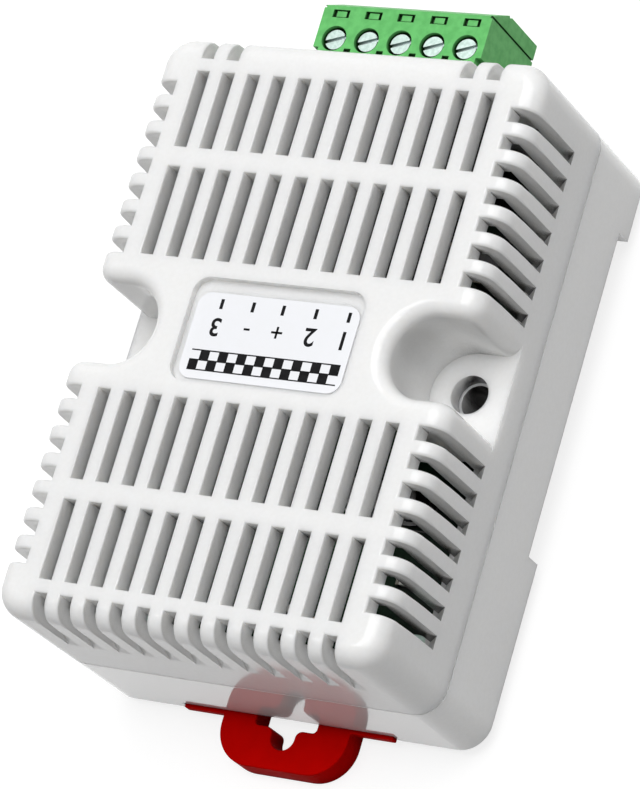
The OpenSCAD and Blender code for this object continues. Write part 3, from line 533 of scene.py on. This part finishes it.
# %% [markdown]
# ## Pieces
# Each visible piece is a mesh drawn in millimetres that rides a body of the frame, so it moves with the
# joints. All faces are shaded smooth up to a sharp angle, and their normals are weighted by area. Plain
# smooth shading would make the flats look puffed up next to their rounded edges, and flat shading would
# show every facet.

# %% Adding a piece
def add_piece(name, bm, body, slot_name, material=None, stands_for=None, flat_below=40):
    """A piece from a mesh in mm: it rides a body, takes a slot's finish and may stand for a CAD node."""
    bmesh.ops.recalc_face_normals(bm, faces=bm.faces)
    bmesh.ops.scale(bm, vec=(MM,) * 3, verts=bm.verts)
    for face in bm.faces:
        face.smooth = True
    for edge in bm.edges:
        edge.smooth = edge.calc_face_angle(0) < math.radians(flat_below)
    mesh = bpy.data.meshes.new(name)
    bm.to_mesh(mesh)
    bm.free()
    piece = bpy.data.objects.new(name, mesh)
    bpy.context.scene.collection.objects.link(piece)
    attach(piece, body)
    if stands_for:
        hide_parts(stands_for)
    mesh.materials.append(material or finishes[slot_name])
    even = piece.modifiers.new("even_shading", "WEIGHTED_NORMAL")
    even.keep_sharp = True
    return piece


print("slots with a finish:", sorted(finishes))

# %% [markdown]
# ## Softened mouldings
# No moulded edge is truly sharp. A bevel modifier can't round the solids as they are, because their
# corners are split. So the solid of each piece is copied, its corners are merged and its flat facets
# joined, and every sharp edge gets a small rounding. The copy then stands for the solid.

# %% Rounding solids
def solid_of(node):
    """A CAD node's mesh in mm, with its split corners merged and its flat facets joined."""
    bm = bmesh.new()
    bm.from_mesh(nodes[node].data)
    bmesh.ops.scale(bm, vec=(1 / MM,) * 3, verts=bm.verts)
    bmesh.ops.remove_doubles(bm, verts=bm.verts, dist=0.0005)
    bmesh.ops.dissolve_limit(bm, angle_limit=math.radians(0.5), verts=bm.verts, edges=bm.edges)
    return bm


def sharp_edges(bm, sharp=35):
    """Edges where two faces meet at more than the given angle, in degrees."""
    return [e for e in bm.edges if e.is_manifold and e.calc_face_angle(0) > math.radians(sharp)]


def round_edges(bm, edges, width, steps, clamp=True):
    """Rounds edges by width, in mm, or by what close neighbours leave, and tells how many there were."""
    bmesh.ops.bevel(bm, geom=edges, offset=width, offset_type="OFFSET", segments=steps, profile=0.5,
                    affect="EDGES", clamp_overlap=clamp, loop_slide=True)
    return len(edges)


def soften(node, width, steps=2, suffix="_moulding", material=None, first=None, shortest=0.0):
    """A copy of a CAD node with rounded edges, from a shortest length on, that stands for the node.

    The function first, where given, rounds some edges before."""
    bm = solid_of(node)
    rounded = first(bm) if first else 0
    rounded += round_edges(bm, [e for e in sharp_edges(bm) if e.calc_length() >= shortest], width, steps)
    piece = add_piece(node + suffix, bm, nodes[node]["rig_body"], slots[node], material, stands_for=node)
    print(node, "edges rounded:", rounded, "faces:", len(piece.data.polygons))


print("CAD nodes to dress:", len(nodes))

# %% [markdown]
# The mouths of the grille slots and the outer edges of the notch floors are clearly rounded in the
# photograph. One width for all edges would come out too small there, because the tightest neighbours
# limit it. So each of these kinds of edge is found by its place and rounded by itself first.

# %% Grille cover
TOUCH = 0.01
CASE_EDGE_R = 2.2
ROW_LENGTH = (8, 12)
NOTCH_FLOOR_Z = (13, 14)
SIDE_SLOTS_FROM_Z, END_SLOTS_FROM_Z = 14.5, 19.5


def row_mouths(bm, far):
    """The four edges of each straight slot in the face."""
    along = [e for e in sharp_edges(bm, 60) if abs(e.verts[0].co.x - e.verts[1].co.x) < TOUCH]
    on_face = [e for e in along if min(v.co.z for v in e.verts) > far.z - TOUCH]
    corners = {v for e in on_face if ROW_LENGTH[0] < e.calc_length() < ROW_LENGTH[1] for v in e.verts}
    return [e for e in sharp_edges(bm, 80) if set(e.verts) <= corners]


def wrapped_mouths(bm, far, axis, low):
    """Edges of the slots that bend over the case edges, above a height; axis 0 is the sides, 1 the ends."""
    def on_skin(point):
        bent = math.hypot(max(abs(point[axis]) - far[axis] + CASE_EDGE_R, 0),
                          max(point.z - far.z + CASE_EDGE_R, 0))
        return point.z > low and abs(bent - CASE_EDGE_R) < 2 * TOUCH

    inside = far[axis] - CASE_EDGE_R - 1
    return [e for e in sharp_edges(bm, 60)
            if all(on_skin(v.co) and abs(v.co[axis]) > inside for v in e.verts)]


def notch_rims(bm, far):
    """The outer edges of the two notch floors."""
    low, high = NOTCH_FLOOR_Z
    return [e for e in sharp_edges(bm, 60)
            if all(abs(v.co.x) > far.x - TOUCH and low < v.co.z < high for v in e.verts)]


def worn_edges(bm):
    """Rounds the mouths of the grille slots and the outer edges of the notch floors."""
    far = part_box("cover")[1] / MM
    count = round_edges(bm, row_mouths(bm, far), 0.2, 4, clamp=False)
    count += round_edges(bm, notch_rims(bm, far), 0.6, 5, clamp=False)
    count += round_edges(bm, wrapped_mouths(bm, far, 0, SIDE_SLOTS_FROM_Z), 0.3, 3, clamp=False)
    return count + round_edges(bm, wrapped_mouths(bm, far, 1, END_SLOTS_FROM_Z), 0.2, 3, clamp=False)


soften("cover", 0.2, steps=3, first=worn_edges)

# %% [markdown]
# The other mouldings take one width each. The clip is thick and rounded like a handle. The plug and the
# header have thin walls round their poles, so their edges stay crisp.

# %% Base, clip, plug and header
soften("base", 0.14, material=glossy_white)
soften("rail_clip", 0.7, steps=5)
soften("terminal_plug", 0.12)
soften("terminal_header", 0.15, material=header_green)

# %% [markdown]
# ## Terminal screws, cages and contacts
# The screws are turned from wire: a flat head with a chamfer and a milled slot, and a rolled thread. The
# thread is a ridge wound round the shank at the pitch that draws the cage up. The cage is folded from
# strip, so its longer edges are rounded and its short ones are left as the press cut them.

# %% Screws and clamps
def skin(bm, rows):
    """A closed skin over rows of points: side faces between neighbours, and a cap at each end."""
    for one, two in zip(rows, rows[1:]):
        for k in range(len(one)):
            bm.faces.new((one[k - 1], one[k], two[k], two[k - 1]))
    bm.faces.new(rows[0][::-1])
    bm.faces.new(rows[-1])


def room_of(node):
    """Lowest corner, highest corner, middle and half size of a CAD node, in mm."""
    low, high = (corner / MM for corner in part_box(node))
    return low, high, (low + high) / 2, (high - low) / 2


def thread(bm, center, radius, low, high, pitch, height, steps=24, sunk=0.02):
    """A helical ridge of triangular section on a shank."""
    count = int((high - low - pitch) / pitch * steps)
    foot = pitch * 0.42
    rows = []
    for k in range(count + 1):
        angle = 2 * math.pi * k / steps
        z = low + pitch / 2 + pitch * k / steps
        fade = min(1, k / steps, (count - k) / steps)
        section = ((radius - sunk, z - foot), (radius + height * fade, z), (radius - sunk, z + foot))
        rows.append([bm.verts.new((center.x + r * math.cos(angle), center.y + r * math.sin(angle), up))
                     for r, up in section])
    skin(bm, rows)


POLES = 5
SHANK_R, HEAD_H, THREAD_PITCH, THREAD_H = 0.8, 1.35, 0.5, 0.035
for number in range(1, POLES + 1):
    screw = "terminal_screw_%d" % number
    soften(screw, 0.12, steps=3, suffix="_turned")
    low, high, middle = room_of(screw)[:3]
    bm = bmesh.new()
    thread(bm, middle, SHANK_R, low.z + 0.1, high.z - HEAD_H, THREAD_PITCH, THREAD_H)
    add_piece(screw + "_thread", bm, "screw_%d" % number, "zinc_steel")
    soften("wire_clamp_%d" % number, 0.1, steps=3, suffix="_folded", shortest=0.6)
soften("plug_contacts", 0.15, suffix="_folded")
soften("header_pins", 0.2, suffix="_drawn")
soften("board_screws", 0.15, steps=3, suffix="_turned")

# %% [markdown]
# ## Parts on the circuit board
# The board shows only through the grille, yet someone who opens the case expects real parts. Their bodies
# are stacks of rounded rectangles: a chip is a block with drafted halves, a crystal a can with a rolled
# foot, a capacitor a drawn cup with a groove. One loft through such rings makes them all, a strip bent
# along a path makes the legs, and the places and most of the sizes come from the solids.

# %% Lofts, strips and places
def outline(center, half_x, half_y, radius, z, arc=5):
    """Points of a rounded rectangle at height z, counted round from +X."""
    points = []
    for quarter, (sx, sy) in enumerate(((1, 1), (-1, 1), (-1, -1), (1, -1))):
        for k in range(arc + 1):
            angle = math.pi / 2 * (quarter + k / arc)
            points.append((center.x + sx * (half_x - radius) + radius * math.cos(angle),
                           center.y + sy * (half_y - radius) + radius * math.sin(angle), z))
    return points


def loft(bm, center, *rings):
    """A closed skin through rounded rectangles of (half width, half length, corner radius, height)."""
    skin(bm, [[bm.verts.new(p) for p in outline(center, *ring)] for ring in rings])


def turned(bm, center, *rings):
    """A closed skin through circles of (radius, height)."""
    loft(bm, center, *((r, r, r, z) for r, z in rings))


def strip(bm, x, path, width, thick):
    """A flat strip bent along a path of (y, z) points, with its width along X."""
    rows = []
    for k, (y, z) in enumerate(path):
        before, after = path[max(k - 1, 0)], path[min(k + 1, len(path) - 1)]
        along = Vector((after[0] - before[0], after[1] - before[1])).normalized()
        back, up = along.y * thick / 2, along.x * thick / 2
        rows.append([bm.verts.new((x + s * width / 2, y - t * back, z + t * up))
                     for s, t in ((-1, -1), (1, -1), (1, 1), (-1, 1))])
    skin(bm, rows)


def islands(node):
    """Lowest and highest corners, in mm, of each separate solid of a CAD node, in order of place."""
    bm = solid_of(node)
    boxes, left = [], set(bm.verts)
    while left:
        group, fresh = [], [left.pop()]
        while fresh:
            vert = fresh.pop()
            group.append(vert.co.copy())
            near = [e.other_vert(vert) for e in vert.link_edges if e.other_vert(vert) in left]
            left.difference_update(near)
            fresh.extend(near)
        boxes.append(tuple(Vector([pick(c[k] for c in group) for k in range(3)]) for pick in (min, max)))
    bm.free()
    return sorted(boxes, key=lambda b: (round(b[0].y, 2), round(b[0].x, 2)))


print("small parts:", {n: len(islands(n)) for n in ("ceramic_capacitors", "resistors", "protection_diodes")})

# %% [markdown]
# The three chips are moulded epoxy with a seam halfway up, where the two mould halves met, and a printed
# dot at the first leg. Their legs are tinned strip, bent down to the board like a gull's wing. A strip
# swept along that path turns with it, where boxes set end to end would gape at the bends.

# %% Chips
INK_T = 0.01
# Number of legs, their pitch and their width
CHIP_LEGS = {"microcontroller": (20, 0.65, 0.28), "bus_transceiver": (8, 1.27, 0.42),
             "voltage_regulator": (8, 1.27, 0.42)}


def chip(node, legs, pitch, leg_w, leg_l=0.9, leg_t=0.18, draft=0.12, corner=0.06, dot_r=0.26):
    """A chip in two drafted halves, its printed dot and bar, and its rows of bent legs."""
    low, high, middle, half = room_of(node)
    wide, long, seam = half.x, half.y - leg_l, middle.z
    bm = bmesh.new()
    loft(bm, middle, (wide - draft, long - draft, corner, low.z + 0.1),
         (wide, long, corner, seam - leg_t / 2), (wide, long, corner, seam + leg_t / 2),
         (wide - draft, long - draft, corner, high.z - 0.05),
         (wide - draft - corner, long - draft - corner, corner, high.z))
    add_piece(node + "_body", bm, "case", slots[node], stands_for=node)
    bm = bmesh.new()
    dot = Vector((low.x + 0.8, low.y + leg_l + 0.8))
    turned(bm, dot, (dot_r, high.z - INK_T), (dot_r, high.z + INK_T))
    loft(bm, middle, *((wide * 0.5, 0.12, 0.05, z) for z in (high.z - INK_T, high.z + INK_T)))
    add_piece(node + "_print", bm, "case", slots[node], material=chalk)
    bm = bmesh.new()
    for k in range(legs // 2):
        for side in (-1, 1):
            edge, foot = middle.y + side * long, low.z + leg_t / 2
            path = [(edge - side * 0.2, seam), (edge + side * 0.2, seam), (edge + side * 0.38, foot + 0.06),
                    (edge + side * 0.46, foot), (edge + side * leg_l, foot)]
            strip(bm, middle.x + (k - (legs / 2 - 1) / 2) * pitch, path, leg_w, leg_t)
    add_piece(node + "_legs", bm, "case", "tinned_brass", flat_below=20)
    print(node, "legs:", legs)


for node, (legs, pitch, leg_w) in CHIP_LEGS.items():
    chip(node, legs, pitch, leg_w)

# %% [markdown]
# Ceramic capacitors, resistors and diodes are small bodies with tinned ends. The caps wrap round the ends
# and bulge a little, as dipped metal does, and each diode carries a band at its cathode. They are too
# small to show more, so one function makes all three kinds.

# %% Small parts with tinned ends
def end_capped(node, cap, body_inset, upright=False):
    """Bodies between two tinned caps; upright ones have their length along Y."""
    bodies, caps = bmesh.new(), bmesh.new()
    turn = (lambda x, y: (y, x)) if upright else (lambda x, y: (x, y))
    for low, high in islands(node):
        middle, half = (low + high) / 2, (high - low) / 2
        long, wide = turn(half.x, half.y)
        wide -= body_inset
        block, top = turn(long - 0.05, wide), turn(long - 0.1, wide - 0.06)
        loft(bodies, middle, (*block, 0.05, low.z + 0.03), (*block, 0.05, high.z - 0.12),
             (*top, 0.05, high.z - 0.03))
        ring, rim = turn(cap / 2, wide + 0.03), turn(cap / 2 - 0.05, wide - 0.04)
        for side in (-1, 1):
            end = middle + Vector((*turn(side * (long - cap / 2), 0), 0))
            loft(caps, end, (*ring, 0.09, low.z), (*ring, 0.09, high.z - 0.1), (*rim, 0.09, high.z))
    add_piece(node + "_bodies", bodies, "case", slots[node], stands_for=node)
    add_piece(node + "_caps", caps, "case", "tinned_brass")


end_capped("ceramic_capacitors", 0.4, 0.04)
end_capped("resistors", 0.4, 0.04)
end_capped("protection_diodes", 0.5, 0.08, upright=True)
bm = bmesh.new()
for low, high in islands("protection_diodes"):
    band = Vector(((low.x + high.x) / 2, high.y - 1.0))
    loft(bm, band, *(((high.x - low.x) / 2 - 0.2, 0.22, 0.04, high.z - under) for under in (0.05, 0.01)))
add_piece("protection_diodes_bands", bm, "case", "chip_epoxy", material=chalk)
print("diodes at", [[round(v, 1) for v in (low + high) / 2] for low, high in islands("protection_diodes")])

# %% [markdown]
# The crystal is a drawn can seam-welded to a foot plate. A loft through ovals that step in above the foot
# gives the weld's flange and the rounded lid in one skin.

# %% Crystal
low, high, middle, half = room_of("crystal")
bm = bmesh.new()
can = ((0, low.z), (0, low.z + 0.4), (0.35, low.z + 0.55),
       (0.4, high.z - 0.35), (0.5, high.z - 0.1), (0.8, high.z))
loft(bm, middle, *((half.x - inset, half.y - inset, half.y - inset, z) for inset, z in can))
add_piece("crystal_can", bm, "case", "metal_can", stands_for="crystal")
print("crystal height:", round(high.z - low.z, 2))

# %% [markdown]
# The filter capacitor is an aluminium cup, rolled in near its base and printed with a dark half moon on
# its minus side. It stands on a black plastic foot. The cup is turned from its profile, which keeps the
# rolled groove round.

# %% Filter capacitor
CUP_R = 3.15
low, high, middle, half = room_of("filter_capacitor")
bm = bmesh.new()
turned(bm, middle, (CUP_R, low.z + 0.6), (CUP_R, low.z + 1.3), (CUP_R - 0.3, low.z + 1.6),
       (CUP_R - 0.3, low.z + 1.8), (CUP_R, low.z + 2.1), (CUP_R, high.z - 0.4), (CUP_R - 0.12, high.z - 0.1),
       (CUP_R - 0.4, high.z))
add_piece("filter_capacitor_cup", bm, "case", "metal_can", stands_for="filter_capacitor")
bm = bmesh.new()
loft(bm, middle, (half.x - 0.1, half.y - 0.1, 1.0, low.z), (half.x, half.y, 0.9, low.z + 0.1),
     (half.x, half.y, 0.9, low.z + 0.9), (half.x - 0.1, half.y - 0.1, 0.9, low.z + 1.0))
add_piece("filter_capacitor_foot", bm, "case", "chip_epoxy")
moon_r, moon_edge, moon_steps = CUP_R - 0.5, 0.9, 20
sweep = math.acos(moon_edge / moon_r)
rim = [(middle.x - moon_r * math.cos(a), middle.y + moon_r * math.sin(a))
       for a in (sweep * (2 * k / moon_steps - 1) for k in range(moon_steps + 1))]
bm = bmesh.new()
skin(bm, [[bm.verts.new((x, y, z)) for x, y in rim] for z in (high.z - INK_T, high.z + INK_T)])
add_piece("filter_capacitor_minus", bm, "case", "metal_can", material=ink)
print("cup height:", round(high.z - low.z, 2))

# %% [markdown]
# The inductor is a ferrite block with a dished top over its winding. The loft runs up the block, in
# across its top and down into the dish.

# %% Power inductor
DISH_R = 1.5
low, high, middle, half = room_of("power_inductor")
bm = bmesh.new()
loft(bm, middle, (half.x, half.y, 0.7, low.z), (half.x, half.y, 0.7, high.z - 0.3),
     (half.x - 0.08, half.y - 0.08, 0.65, high.z - 0.08), (half.x - 0.3, half.y - 0.3, 0.5, high.z),
     (DISH_R, DISH_R, DISH_R, high.z), (DISH_R - 0.08, DISH_R - 0.08, DISH_R - 0.08, high.z - 0.4))
add_piece("power_inductor_block", bm, "case", "chip_epoxy", stands_for="power_inductor")
print("dish width:", 2 * DISH_R)

# %% [markdown]
# The sensor chip has a round window with a pale membrane that lets damp air in and keeps dust out. The
# shell's loft turns inwards at the window, so the opening is a real hole with a chamfer, and the membrane
# is a low dome that fills it.

# %% Humidity sensor
WINDOW_R = 0.8
low, high, middle, half = room_of("humidity_sensor")
chamfer_r, membrane_r = WINDOW_R + 0.1, WINDOW_R - 0.02
bm = bmesh.new()
loft(bm, middle, (half.x, half.y, 0.1, low.z), (half.x, half.y, 0.1, high.z - 0.12),
     (half.x - 0.1, half.y - 0.1, 0.1, high.z), (chamfer_r, chamfer_r, chamfer_r, high.z),
     (WINDOW_R, WINDOW_R, WINDOW_R, high.z - 0.1), (WINDOW_R, WINDOW_R, WINDOW_R, middle.z))
add_piece("humidity_sensor_shell", bm, "case", "sensor_body", stands_for="humidity_sensor")
bm = bmesh.new()
turned(bm, middle, (membrane_r, middle.z - 0.02), (membrane_r, middle.z + 0.1), (0.3, middle.z + 0.16))
add_piece("humidity_sensor_membrane", bm, "case", "sensor_body", material=chalk)
print("window width:", 2 * WINDOW_R)

# %% [markdown]
# The status light is a clear resin lens on a white carrier with tinned ends. The lens is a quarter
# ellipse turned round and closed by a small flat, because rings that shrink to a point would leave
# slivers.

# %% Status light
CARRIER_H, LENS_R, LENS_SUNK, LENS_STEPS = 0.5, 0.55, 0.05, 8
low, high, middle, half = room_of("status_light")
lens_low, lens_h = low.z + CARRIER_H - LENS_SUNK, high.z - low.z - CARRIER_H + LENS_SUNK
angles = [math.pi / 2 * k / LENS_STEPS for k in range(LENS_STEPS)]
bm = bmesh.new()
turned(bm, middle, *((LENS_R * math.cos(a), lens_low + lens_h * math.sin(a)) for a in angles))
add_piece("status_light_lens", bm, "case", "light_resin", stands_for="status_light")
bm = bmesh.new()
loft(bm, middle, *((half.x - 0.25, half.y - 0.05, 0.06, low.z + up) for up in (0.02, CARRIER_H)))
add_piece("status_light_carrier", bm, "case", "sensor_body")
bm = bmesh.new()
for side in (-1, 1):
    end = middle + Vector((side * (half.x - 0.2), 0, 0))
    loft(bm, end, (0.2, half.y, 0.08, low.z), (0.2, half.y, 0.08, low.z + CARRIER_H),
         (0.15, half.y - 0.05, 0.08, low.z + CARRIER_H + 0.03))
add_piece("status_light_caps", bm, "case", "tinned_brass")
print("lens rings:", len(angles))

# %% [markdown]
# ## Board artwork
# Tracks are etched copper under the lacquer, so they stand a few hundredths of a millimetre proud and
# show as a lighter green. White print outlines the larger parts. Both are flat runs with round ends and
# corners, so one function draws both; a painted texture would need an image.

# %% Tracks and outlines
board_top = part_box("circuit_board")[1].z / MM
TRACK_LEVELS = (board_top - 0.01, board_top + 0.03)


def track(bm, points, width):
    """A flat track along points of (x, y), with round ends and corners."""
    for x, y in points:
        turned(bm, Vector((x, y)), *((width / 2, z) for z in TRACK_LEVELS))
    for (x0, y0), (x1, y1) in zip(points, points[1:]):
        side = Vector((y0 - y1, x1 - x0)).normalized() * width / 2
        ring = [(x0 + side.x, y0 + side.y), (x1 + side.x, y1 + side.y),
                (x1 - side.x, y1 - side.y), (x0 - side.x, y0 - side.y)]
        skin(bm, [[bm.verts.new((x, y, z)) for x, y in ring] for z in TRACK_LEVELS])


LEG_HALF = 0.5
PIN_TRACK_W, SIGNAL_TRACK_W, FAN_TRACK_W = 0.6, 0.22, 0.3
feet = [((low.x + high.x) / 2, low.y + LEG_HALF) for low, high in islands("header_pins")]
controller_at, *others_at = [room_of(node)[2] for node in CHIP_LEGS]
tracks = bmesh.new()
for x, y in feet:
    track(tracks, [(x, y), (x, y - 2.5), (x * 0.8, y - 3.6), (x * 0.8, y - 6)], PIN_TRACK_W)
for k in range(6):
    x, y = controller_at.x + (k - 2.5) * 0.65, controller_at.y + 3.0
    route = [(x, y), (x, y + 1.5 + 0.4 * k), (x + 5, y + 6.5 + 0.4 * k), (x + 5, y + 9)]
    track(tracks, route, SIGNAL_TRACK_W)
for chip_at in others_at:
    for k in range(4):
        x = chip_at.x + (k - 1.5) * 1.27
        track(tracks, [(x, chip_at.y - 2.8), (x, chip_at.y - 5 - 0.5 * k)], FAN_TRACK_W)
add_piece("board_tracks", tracks, "case", "board_laminate", material=copper)

OUTLINE_GAP, OUTLINE_W = 0.35, 0.15
outlines = bmesh.new()
for node in (*CHIP_LEGS, "power_inductor", "crystal", "filter_capacitor"):
    low, high = room_of(node)[:2]
    x0, x1 = low.x - OUTLINE_GAP, high.x + OUTLINE_GAP
    y0, y1 = low.y - OUTLINE_GAP, high.y + OUTLINE_GAP
    track(outlines, [(x0, y0), (x1, y0), (x1, y1), (x0, y1), (x0, y0)], OUTLINE_W)
add_piece("board_outlines", outlines, "case", "board_laminate", material=chalk)
print("tracks from", len(feet), "pins and", len(CHIP_LEGS), "chips")

# %% [markdown]
# A cone of solder holds each leg of the header. Molten solder climbs the leg in a hollow curve, so the
# cone is turned from a profile that gets steeper towards its tip.

# %% Solder
solder = bmesh.new()
for foot in feet:
    turned(solder, Vector(foot), (1.0, board_top - 0.01), (0.95, board_top + 0.06), (0.68, board_top + 0.25),
           (0.55, board_top + 0.6), (0.52, board_top + 0.75))
add_piece("header_solder", solder, "case", "tinned_brass")
print("solder joints:", len(feet))

# %% [markdown]
# ## Label print
# The sticker carries one short bar for each pole, a mark under each bar and a bold row below. The marks
# are read from the terminal side, so they stand upside down in the photograph. Plain numbers and polarity
# signs stand in for the printed names, and a plain graduated bar stands in for the bold row. All of it is
# thin raised ink, so it needs no image and stays sharp at any distance.

# %% Pole marks
label_low, label_high = (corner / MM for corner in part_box("label"))
PRINT_Z, PRINT_T = label_high.z, 0.015


def print_box(bm, x0, x1, y0, y1):
    """A thin rectangle of ink on the label."""
    low, high = PRINT_Z - PRINT_T, PRINT_Z + PRINT_T
    corners = [(x0, y0), (x1, y0), (x1, y1), (x0, y1)]
    bottom = [bm.verts.new((x, y, low)) for x, y in corners]
    top = [bm.verts.new((x, y, high)) for x, y in corners]
    bm.faces.new(top)
    bm.faces.new(bottom[::-1])
    for k in range(4):
        bm.faces.new((bottom[k], bottom[k - 3], top[k - 3], top[k]))


def print_bar(bm, x, y, half_w, half_h):
    """A thin rectangle of ink round a middle."""
    print_box(bm, x - half_w, x + half_w, y - half_h, y + half_h)


def print_number(bm, number, x, y, height):
    """One number from the built-in typeface as flat ink, read from the terminal side."""
    letter = bpy.data.curves.new("sign", "FONT")
    letter.body = number
    letter.size = height * 1.4
    letter.align_x = "CENTER"
    letter.align_y = "CENTER"
    letter.offset = 0.045
    letter.extrude = PRINT_T
    holder = bpy.data.objects.new("sign", letter)
    bpy.context.scene.collection.objects.link(holder)
    flat = bpy.data.meshes.new_from_object(holder.evaluated_get(bpy.context.evaluated_depsgraph_get()))
    first = len(bm.verts)
    bm.from_mesh(flat)
    bm.verts.ensure_lookup_table()
    for v in bm.verts[first:]:
        v.co = Vector((x - v.co.x, y - v.co.y, PRINT_Z + v.co.z))
    bpy.data.objects.remove(holder)
    bpy.data.curves.remove(letter)
    bpy.data.meshes.remove(flat)


POLES_X = (-6.72, -2.97, 0.6, 4.49, 8.37)
BAR_HALF_W, BAR_Y, MARK_Y = 0.19, (2.6, 3.7), 0.7
bm = bmesh.new()
for x in POLES_X:
    print_box(bm, x - BAR_HALF_W, x + BAR_HALF_W, *BAR_Y)
for x, sign in zip(POLES_X, ("3", "-", "+", "2", "1")):
    if sign == "-":
        print_bar(bm, x, MARK_Y, 0.35, 0.12)
    elif sign == "+":
        print_bar(bm, x, MARK_Y, 0.65, 0.12)
        print_bar(bm, x, MARK_Y, 0.13, 0.65)
    else:
        print_number(bm, sign, x, MARK_Y, 2.0)
bmesh.ops.remove_doubles(bm, verts=bm.verts, dist=0.0005)
add_piece("label_pole_marks", bm, "case", "label_film", material=ink)
print("label from", label_low, "to", label_high)

# %% [markdown]
# The graduated bar is two rows of alternating cells between three thin rules, like the scale of a map.

# %% Scale bar
SCALE_LOW, SCALE_HIGH, SCALE_X, CELL_W, CELLS = -4.2, -2.05, 0.2, 1.1, 16
CELL_GAP, RULE_HALF = 0.06, 0.07
row_h = (SCALE_HIGH - SCALE_LOW) / 2
bm = bmesh.new()
for k in range(CELLS):
    x = (k - CELLS / 2) * CELL_W + SCALE_X
    y = SCALE_LOW + row_h * (k % 2)
    print_box(bm, x, x + CELL_W, y + CELL_GAP, y + row_h - CELL_GAP)
for y in (SCALE_LOW, SCALE_LOW + row_h, SCALE_HIGH):
    print_bar(bm, SCALE_X, y, CELLS * CELL_W / 2, RULE_HALF)
add_piece("label_scale_bar", bm, "case", "label_film", material=ink)
print("scale cells:", CELLS)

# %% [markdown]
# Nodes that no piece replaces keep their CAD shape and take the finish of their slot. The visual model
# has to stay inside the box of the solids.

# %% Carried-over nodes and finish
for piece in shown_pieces():
    if not piece.data.materials or piece.get("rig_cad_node"):
        piece.data.materials.clear()
        piece.data.materials.append(finishes[slots[piece["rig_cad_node"]]])
